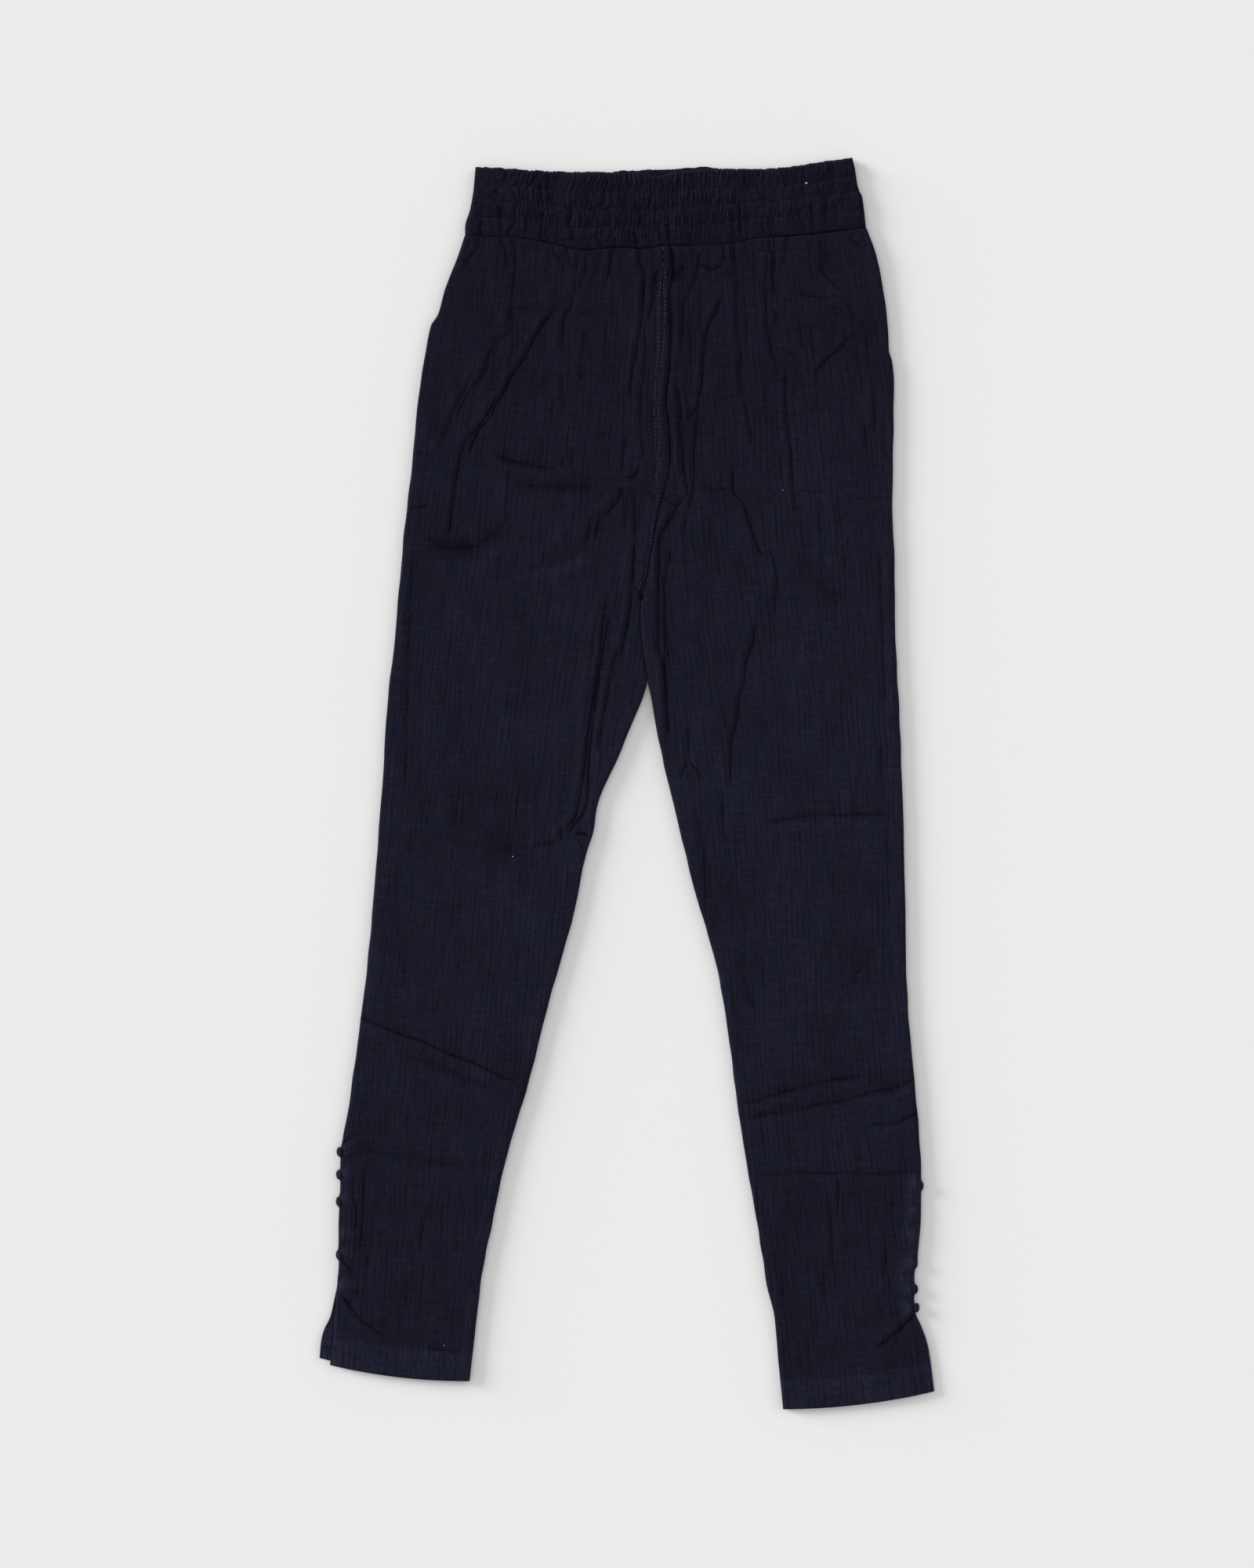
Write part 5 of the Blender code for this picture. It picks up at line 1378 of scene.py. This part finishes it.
def stitch_tree(material):
    """Node tree that sets a stitch at even steps along each edge path."""
    numbers = ("Pitch", "Length", "Width", "Height", "Unevenness", "Shown")
    tree, entry = new_tree("running_stitches", numbers, ["Seed"])
    curve = add_node(tree, "GeometryNodeMeshToCurve", {"Mesh": entry["Geometry"]})[0]
    links = {"Curve": curve, "Length": entry["Pitch"]}
    points = add_node(tree, "GeometryNodeCurveToPoints", links, mode="LENGTH")
    bead = add_node(tree, "GeometryNodeMeshUVSphere", {"Segments": 8, "Rings": 5, "Radius": 0.5})[0]
    size = add_node(tree, "ShaderNodeCombineXYZ", [entry["Length"], entry["Width"], entry["Height"]])[0]
    least = add_node(tree, "ShaderNodeMath", [1.0, entry["Unevenness"]], operation="SUBTRACT")[0]
    most = add_node(tree, "ShaderNodeMath", [1.0, entry["Unevenness"]], operation="ADD")[0]
    links = {2: least, 3: most, "Seed": entry["Seed"]}
    uneven = add_node(tree, "FunctionNodeRandomValue", links, data_type="FLOAT")[1]
    scaled = add_node(tree, "ShaderNodeVectorMath", {0: size, "Scale": uneven}, operation="SCALE")[0]
    turned = add_node(tree, "FunctionNodeAlignRotationToVector", {"Vector": points["Tangent"]}, axis="X")[0]
    links = {"Probability": entry["Shown"], "Seed": entry["Seed"]}
    chosen = add_node(tree, "FunctionNodeRandomValue", links, data_type="BOOLEAN")[3]
    links = {"Points": points["Points"], "Instance": bead, "Rotation": turned, "Scale": scaled}
    links["Selection"] = chosen
    placed = add_node(tree, "GeometryNodeInstanceOnPoints", links)[0]
    return end_tree(tree, placed, material)


def on_cloth(piece, x, down, up, lift):
    """Places on a piece's surface at (x, down), seen from above or from below, lifted off it a little."""
    places = []
    for across, below in zip(x, down):
        start = Vector((across, WAIST_Y - below, 50 if up else -50)) * MM
        hit, place, _, _ = piece.ray_cast(start, Vector((0, 0, -1 if up else 1)))
        if hit:
            places.append(place + Vector((0, 0, lift * MM)))
    return places


def add_stitches(context, name, paths, material, slot_name, size=(1.0, 1.0), pitch=1.0, shown=1.0):
    """One piece of sewing: a stitch at every step along each path, but for those sunk out of sight."""
    sizes = context.scene.trouser_sizes
    mesh = bpy.data.meshes.new(name)
    points = [place for path in paths for place in path]
    links = []
    start = 0
    for path in paths:
        links += [(start + i, start + i + 1) for i in range(len(path) - 1)]
        start += len(path)
    mesh.from_pydata(points, links, [])
    piece = bpy.data.objects.new(name, mesh)
    context.scene.collection.objects.link(piece)
    width = sizes.stitch_width * size[1]
    values = {
        "Pitch": sizes.stitch_pitch * pitch,
        "Length": sizes.stitch_length * size[0],
        "Width": width,
        "Height": 0.7 * width,
        "Unevenness": 0.25,
        "Shown": shown,
        "Seed": sizes.seed,
    }
    use_tree(piece, stitch_tree(material), values)
    plain_mesh(piece)
    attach(piece, "root")
    return piece


def new_material(name, roughness, specular):
    """A material, its node tree and its shader."""
    material = bpy.data.materials.new(name)
    material.use_nodes = True
    tree = material.node_tree
    shader = tree.nodes["Principled BSDF"]
    shader.inputs["Roughness"].default_value = roughness
    shader.inputs["Specular IOR Level"].default_value = specular
    return material, tree, shader


def cloth_material(scene, name, colour, stripe_share):
    """Navy cotton woven with a dobby stripe: matt, mottled, with slubbed threads and dark broken grooves."""
    sizes = scene.trouser_sizes
    material, tree, shader = new_material(name, 0.9, 0.05)
    shader.inputs["Sheen Weight"].default_value = 0.02
    shader.inputs["Sheen Roughness"].default_value = 0.5
    grain = add_node(tree, "ShaderNodeUVMap", uv_map="grain")[0]
    tone = add_node(tree, "ShaderNodeAttribute", attribute_name="tone")["Fac"]
    painted_shade = add_node(tree, "ShaderNodeAttribute", attribute_name="painted_shade")["Fac"]
    # Noises along the grain: the metres across and along the threads of a patch of each, and its detail
    noises = []
    for across, along, detail in (
        # Warp threads, drawn as streaks a thick thread wide and 30 mm long: the 0.3 mm yarn wouldn't show
        (sizes.thread, 0.03, 2.0),
        # Slubs in the weft, thick places 20 mm long and as wide as a thick thread
        (0.02, sizes.thread, 1.0),
        # Mottling, where the dye took unevenly, in patches 3 mm across
        (0.0026, 0.0038, 3.0),
        # Breaks in the dark grooves, which leave streaks 20 to 70 mm long
        (0.0031, 0.06, 2.0),
        # Raggedness of the crease lines, which are darker in one place than in the next
        (1 / 230, 1 / 130, 2.0),
        # Lean of the dye, to red in one place and to blue in the next
        (1 / 130, 0.025, 1.0),
    ):
        links = {"Vector": grain, "Scale": (1 / across, 1 / along, 1)}
        links = {"Vector": add_node(tree, "ShaderNodeMapping", links)[0], "Scale": 1.0, "Detail": detail}
        noises.append(add_node(tree, "ShaderNodeTexNoise", links))
    warp, weft, mottle, breaks, ragged, dye = noises
    # The dobby stripe: a groove at each stripe and half stripe, broken into streaks, its darkness painted
    # shade
    stripe_at = add_node(tree, "ShaderNodeMapping", {"Vector": grain, "Scale": (2 / sizes.stripe, 1, 1)})[0]
    apart = add_node(tree, "ShaderNodeSeparateXYZ", [stripe_at])[0]
    away = add_node(tree, "ShaderNodeMath", [apart, 0.5], operation="PINGPONG")[0]
    links = {"Value": away, "From Min": 0.02, "From Max": 0.13, "To Min": 1.0, "To Max": 0.0}
    line = add_node(tree, "ShaderNodeMapRange", links, interpolation_type="SMOOTHSTEP")[0]
    links = {"Value": breaks[0], "From Min": 0.37, "From Max": 0.66, "To Min": 0.0, "To Max": 1.0}
    streak = add_node(tree, "ShaderNodeMapRange", links)[0]
    shown = add_node(tree, "ShaderNodeMath", [line, streak], operation="MULTIPLY")[0]
    # The crease lines, drawn as painted shade in the colour and sunk a little by the bump
    shift = add_node(tree, "ShaderNodeMath", [ragged[0], 1.6, -0.8], operation="MULTIPLY_ADD")[0]
    links = {"Value": ragged[0], "From Min": 0.3, "From Max": 0.6, "To Min": 0.75, "To Max": 1.55}
    strength = add_node(tree, "ShaderNodeMapRange", links)[0]
    creased = None
    for number in range(LINE_LAYERS):
        line_at = add_node(tree, "ShaderNodeAttribute", attribute_name=f"crease_line_{number}")["Vector"]
        parts = add_node(tree, "ShaderNodeSeparateXYZ", [line_at])
        beside = add_node(tree, "ShaderNodeMath", [parts[0], shift], operation="ADD")[0]
        distance = add_node(tree, "ShaderNodeMath", [beside], operation="ABSOLUTE")[0]
        links = {"Value": distance, "From Min": 0.2, "From Max": 1.9, "To Min": 1.0, "To Max": 0.0}
        profile = add_node(tree, "ShaderNodeMapRange", links, interpolation_type="SMOOTHSTEP")[0]
        drawn = add_node(tree, "ShaderNodeMath", [profile, parts[1]], operation="MULTIPLY")[0]
        if creased is None:
            creased = drawn
        else:
            creased = add_node(tree, "ShaderNodeMath", [creased, drawn], operation="MAXIMUM")[0]
    lined = add_node(tree, "ShaderNodeMath", [creased, strength], operation="MULTIPLY", use_clamp=True)[0]
    # Colour: the sum of what each thread adds or takes, times the tone, and darkened by the painted shade and
    # the crease lines, which are painted shade too
    by_warp = add_node(tree, "ShaderNodeMath", [warp[0], 1.16, 0.05], operation="MULTIPLY_ADD")[0]
    by_weft = add_node(tree, "ShaderNodeMath", [weft[0], 0.8, by_warp], operation="MULTIPLY_ADD")[0]
    threads = add_node(tree, "ShaderNodeMath", [mottle[0], 1.0, -0.5], operation="MULTIPLY_ADD")[0]
    woven = add_node(tree, "ShaderNodeMath", [threads, by_weft], operation="ADD")[0]
    striped = add_node(tree, "ShaderNodeMath", [shown, -stripe_share, woven], operation="MULTIPLY_ADD")[0]
    toned = add_node(tree, "ShaderNodeMath", [striped, tone], operation="MULTIPLY")[0]
    worn = add_node(tree, "ShaderNodeMath", [painted_shade, -0.62, 1.0], operation="MULTIPLY_ADD")[0]
    left = add_node(tree, "ShaderNodeMath", [lined, -0.69, 1.0], operation="MULTIPLY_ADD")[0]
    shaded = add_node(tree, "ShaderNodeMath", [toned, worn], operation="MULTIPLY")[0]
    share = add_node(tree, "ShaderNodeMath", [shaded, left], operation="MULTIPLY")[0]
    links = [dye["Color"], (0.42, 0.2, 0.3), (0.79, 0.9, 0.85)]
    leaning = add_node(tree, "ShaderNodeVectorMath", links, operation="MULTIPLY_ADD")[0]
    dyed = add_node(tree, "ShaderNodeVectorMath", [leaning, tuple(colour)[:3]], operation="MULTIPLY")[0]
    scaled = add_node(tree, "ShaderNodeVectorMath", {0: dyed, "Scale": share}, operation="SCALE")[0]
    tree.links.new(scaled, shader.inputs["Base Color"])
    ribbed = add_node(tree, "ShaderNodeMath", [shown, -0.8, woven], operation="MULTIPLY_ADD")[0]
    raised = add_node(tree, "ShaderNodeMath", [lined, -1.4, ribbed], operation="MULTIPLY_ADD")[0]
    links = {"Height": raised, "Distance": 0.00016, "Strength": 1.0}
    tree.links.new(add_node(tree, "ShaderNodeBump", links)[0], shader.inputs["Normal"])
    return material


def thread_material(colour):
    """Spun polyester sewing thread: smoother than the cotton, so that it catches a little light."""
    material, tree, shader = new_material("spun_polyester_thread", 0.55, 0.3)
    place = add_node(tree, "ShaderNodeTexCoord")["Object"]
    # Faded and clean lengths of thread, about 9 mm apart
    patches = add_node(tree, "ShaderNodeTexNoise", {"Vector": place, "Scale": 110.0, "Detail": 1.0})[0]
    links = {"Value": patches, "From Min": 0.35, "From Max": 0.68, "To Min": 0.25, "To Max": 1.15}
    share = add_node(tree, "ShaderNodeMapRange", links)[0]
    links = {0: tuple(colour)[:3], "Scale": share}
    shade = add_node(tree, "ShaderNodeVectorMath", links, operation="SCALE")[0]
    tree.links.new(shade, shader.inputs["Base Color"])
    # Twist of the thread's plies, 0.4 mm long
    twist = add_node(tree, "ShaderNodeTexNoise", {"Vector": place, "Scale": 2500.0})[0]
    bump = add_node(tree, "ShaderNodeBump", {"Height": twist, "Distance": 0.00008})[0]
    tree.links.new(bump, shader.inputs["Normal"])
    return material


def lint_material(colour):
    """Loose cotton fluff: matt and nearly white."""
    material, tree, shader = new_material("white_cotton_lint", 1.0, 0.5)
    place = add_node(tree, "ShaderNodeTexCoord")["Object"]
    tufts = add_node(tree, "ShaderNodeTexNoise", {"Vector": place, "Scale": 3000.0})[0]
    share = add_node(tree, "ShaderNodeMapRange", {"Value": tufts, "To Min": 0.7, "To Max": 1.0})[0]
    links = {0: tuple(colour)[:3], "Scale": share}
    shade = add_node(tree, "ShaderNodeVectorMath", links, operation="SCALE")[0]
    tree.links.new(shade, shader.inputs["Base Color"])
    return material


def floor_material(colour):
    """Matt paper backdrop."""
    material, _, shader = new_material("matt_paper_backdrop", 1.0, 0.0)
    shader.inputs["Base Color"].default_value = tuple(colour)
    return material


def made_pieces(*names):
    """Pieces that were made before, by their names."""
    found = [bpy.data.objects.get(name) for name in names]
    if None in found:
        raise RuntimeError(f"make {', '.join(names)} first")
    return found


class MakeFrontLegs(bpy.types.Operator):
    """Makes the two front leg panels, with their creases, the felled centre seam and the hems"""

    bl_idname = "trousers.make_front_legs"
    bl_label = "Front Legs"

    def execute(self, context):
        scene = context.scene
        cotton = cloth_material(scene, "dobby_striped_cotton_woven", scene.trouser_colours.legs, 0.62)
        for leg, area in ((RIGHT_LEG, 0.147), (LEFT_LEG, 0.149)):
            piece = add_leg_panel(context, leg, True, cotton)
        return {"FINISHED"}


class MakeBackLegs(bpy.types.Operator):
    """Makes the two back leg panels, which lie flat on the floor"""

    bl_idname = "trousers.make_back_legs"
    bl_label = "Back Legs"

    def execute(self, context):
        scene = context.scene
        cotton = cloth_material(scene, "dobby_striped_cotton_back", scene.trouser_colours.legs, 0.62)
        for leg, area in ((RIGHT_LEG, 0.147), (LEFT_LEG, 0.149)):
            piece = add_leg_panel(context, leg, False, cotton)
        return {"FINISHED"}


class MakeWaistband(bpy.types.Operator):
    """Makes the front and back halves of the smocked waistband"""

    bl_idname = "trousers.make_waistband"
    bl_label = "Waistband"

    def execute(self, context):
        scene = context.scene
        cotton = cloth_material(scene, "dobby_striped_cotton_gathered", scene.trouser_colours.waistband, 0.35)
        for front, under in ((True, "waistband_back"), (False, "floor")):
            piece = add_waistband(context, front, cotton)
        return {"FINISHED"}


class MakeButtons(bpy.types.Operator):
    """Makes the four covered buttons on each ankle"""

    bl_idname = "trousers.make_buttons"
    bl_label = "Buttons"

    def execute(self, context):
        scene = context.scene
        cotton = cloth_material(scene, "dobby_striped_cotton_covering", scene.trouser_colours.buttons, 0.25)
        for leg in (RIGHT_LEG, LEFT_LEG):
            for number, button in enumerate(leg.buttons, 1):
                add_button(leg, number, button, cotton)
        return {"FINISHED"}


class SewSeams(bpy.types.Operator):
    """Sews the centre seam, the hems, and the rows that hold the waistband's gathers"""

    bl_idname = "trousers.sew_seams"
    bl_label = "Sewing"

    def execute(self, context):
        names = ("front_leg_right", "front_leg_left", "back_leg_right", "back_leg_left")
        front_right, front_left, back_right, back_left = made_pieces(*names)
        band_front, band_back = made_pieces("gathered_waistband_front", "gathered_waistband_back")
        context.view_layer.update()
        thread = thread_material(context.scene.trouser_colours.thread)
        seams = []
        for row in (SEAM_ROW_OUTER, SEAM_ROW_INNER):
            down = np.arange(row[0].down + 1, row[-1].down, 1.0)
            seams.append(on_cloth(front_right, curve_through(row, down), down, True, 0.02))
        down = np.arange(72, FORK - 62, 1.0)
        x = curve_through(CENTRE_SEAM, down) - BACK_SEAM_ASIDE
        seams.append(on_cloth(back_right, x, down, False, 0.1))
        add_stitches(context, "centre_seam_sewing", seams, thread, "leg_cotton", shown=0.9)
        hems = []
        for leg, front, back in ((RIGHT_LEG, front_right, back_right), (LEFT_LEG, front_left, back_left)):
            sides = ((front, leg.slit_front, leg.hem_front, True), (back, leg.slit_back, leg.hem_back, False))
            for piece, slit, hem, up in sides:
                share = np.linspace(0.03, 0.97, 110)
                x = slit[-1].x + (leg.inseam[-1].x - slit[-1].x) * share
                down = hem + (leg.hem_inner - hem) * share + HEM_BOW * 4 * share * (1 - share)
                hems.append(on_cloth(piece, x, down - HEM_DEPTH + HEM_SEWN, up, 0.0 if up else 0.1))
        add_stitches(context, "hem_sewing", hems, thread, "leg_cotton", size=(0.6, 0.7), shown=0.3)
        rows = []
        for number, part in enumerate(STITCH_PARTS):
            for piece, up in ((band_front, True), (band_back, False)):
                right, left = (float(curve_through(side, part)) for side in (BAND_SIDE_RIGHT, BAND_SIDE_LEFT))
                x = np.arange(right + 2, left - 2, 0.5)
                top, seam = band_edges(x, up)
                down = top + (seam - top) * part + 0.5 * soft_noise(x, number, 16, 1, 44)
                rows.append(on_cloth(piece, x, down, up, 0.02 if up else 0.22))
        look = {"size": (0.5, 0.85), "pitch": 0.65, "shown": 0.5}
        add_stitches(context, "waistband_sewing", rows, thread, "waistband_cotton", **look)
        return {"FINISHED"}


class ScatterLint(bpy.types.Operator):
    """Lays a few specks of white lint on the cloth"""

    bl_idname = "trousers.scatter_lint"
    bl_label = "Lint"

    def execute(self, context):
        right, left, band = made_pieces("front_leg_right", "front_leg_left", "gathered_waistband_front")
        white = lint_material(context.scene.trouser_colours.lint)
        # Each speck's piece, x and down, length in mm, and angle in degrees
        specks = (
            (band, 137.2, 18.9, 2.0, 12),
            (right, -87.4, 534.0, 0.6, 80),
            (right, -139.7, 908.1, 0.45, 60),
            (left, 119.7, 253.6, 0.32, 90),
        )
        bm = bmesh.new()
        for piece, x, down, length, angle in specks:
            place = on_cloth(piece, [x], [down], True, 0.2)[0]
            turn = Matrix.Rotation(math.radians(angle), 3, "Z")
            rings = []
            for share in np.linspace(0, 1, LINT_RINGS + 1):
                wide, high = LINT_RADIUS * math.sin(math.pi * share), LINT_RADIUS * math.cos(math.pi * share)
                ring = []
                for side in range(LINT_SIDES if 0 < share < 1 else 1):
                    bearing = 2 * math.pi * side / LINT_SIDES
                    along, aside = wide * math.sin(bearing), wide * math.cos(bearing)
                    tuft = Vector((along * length, aside * (1.0 + 0.25 * math.sin(along * 9)), high * 0.7))
                    ring.append(bm.verts.new(place + turn @ tuft * MM))
                rings.append(ring)
            join_rings(bm, rings, LINT_SIDES)
        bmesh.ops.recalc_face_normals(bm, faces=bm.faces)
        mesh = bpy.data.meshes.new("lint")
        bm.to_mesh(mesh)
        bm.free()
        mesh.shade_smooth()
        piece = new_piece("lint", mesh, white)
        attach(piece, "root")
        return {"FINISHED"}


class SetStage(bpy.types.Operator):
    """Sets the pale floor, the soft studio light and the camera straight above"""

    bl_idname = "trousers.set_stage"
    bl_label = "Stage"

    def execute(self, context):
        scene = context.scene
        bpy.ops.mesh.primitive_plane_add(size=FLOOR_SIZE, location=(0, 0, FLOOR_Z))
        floor = context.active_object
        floor.name = "floor"
        floor.data.materials.append(floor_material(scene.trouser_colours.floor))
        world = bpy.data.worlds.new("soft_studio")
        world.use_nodes = True
        sky = world.node_tree.nodes["Background"].inputs
        sky["Color"].default_value = (1, 1, 1, 1)
        sky["Strength"].default_value = 0.53
        scene.world = world
        for name, energy, angle, toward in (
            ("low_side_softbox", 3.86, 24, (-0.9, 0.347, 0.236)),
            ("overhead_softbox", 0.33, 60, (-0.24, 0.1, 0.966)),
            ("far_side_fill", 0.6, 40, (0.85, 0.35, 0.38)),
        ):
            light = bpy.data.lights.new(name, "SUN")
            light.energy = energy
            light.angle = math.radians(angle)
            softbox = bpy.data.objects.new(name, light)
            softbox.rotation_euler = Vector(toward).to_track_quat("Z", "Y").to_euler()
            scene.collection.objects.link(softbox)
        lens = bpy.data.cameras.new("overhead")
        lens.lens = LENS
        lens.sensor_width = FILM
        lens.clip_end = 20
        camera = bpy.data.objects.new("overhead", lens)
        camera.location = (0, 0, CAMERA_Z)
        scene.collection.objects.link(camera)
        scene.camera = camera
        scene.view_settings.view_transform = "Standard"
        scene.view_settings.look = "None"
        return {"FINISHED"}


OPERATORS = (MakeFrontLegs, MakeBackLegs, MakeWaistband, MakeButtons, SewSeams, ScatterLint, SetStage)


class TrousersPanel(bpy.types.Panel):
    """Lists the trousers' sizes, colours and operators"""

    bl_idname = "VIEW3D_PT_trousers"
    bl_label = "Tapered Trousers"
    bl_space_type = "VIEW_3D"
    bl_region_type = "UI"
    bl_category = "Trousers"

    def draw(self, context):
        for group in (context.scene.trouser_sizes, context.scene.trouser_colours):
            for name in group.__annotations__:
                self.layout.prop(group, name)
        for operator in OPERATORS:
            self.layout.operator(operator.bl_idname)


CLASSES = (TrouserSizes, TrouserColours, *OPERATORS, TrousersPanel)


def register():
    for item in CLASSES:
        bpy.utils.register_class(item)
    bpy.types.Scene.trouser_sizes = PointerProperty(type=TrouserSizes)
    bpy.types.Scene.trouser_colours = PointerProperty(type=TrouserColours)


def unregister():
    del bpy.types.Scene.trouser_colours
    del bpy.types.Scene.trouser_sizes
    for item in reversed(CLASSES):
        bpy.utils.unregister_class(item)


def main():
    register()
    bpy.ops.trousers.set_stage()
    bpy.ops.trousers.make_back_legs()
    bpy.ops.trousers.make_front_legs()
    bpy.ops.trousers.make_waistband()
    bpy.ops.trousers.make_buttons()
    bpy.ops.trousers.sew_seams()
    bpy.ops.trousers.scatter_lint()


if __name__ == "__main__":
    main()
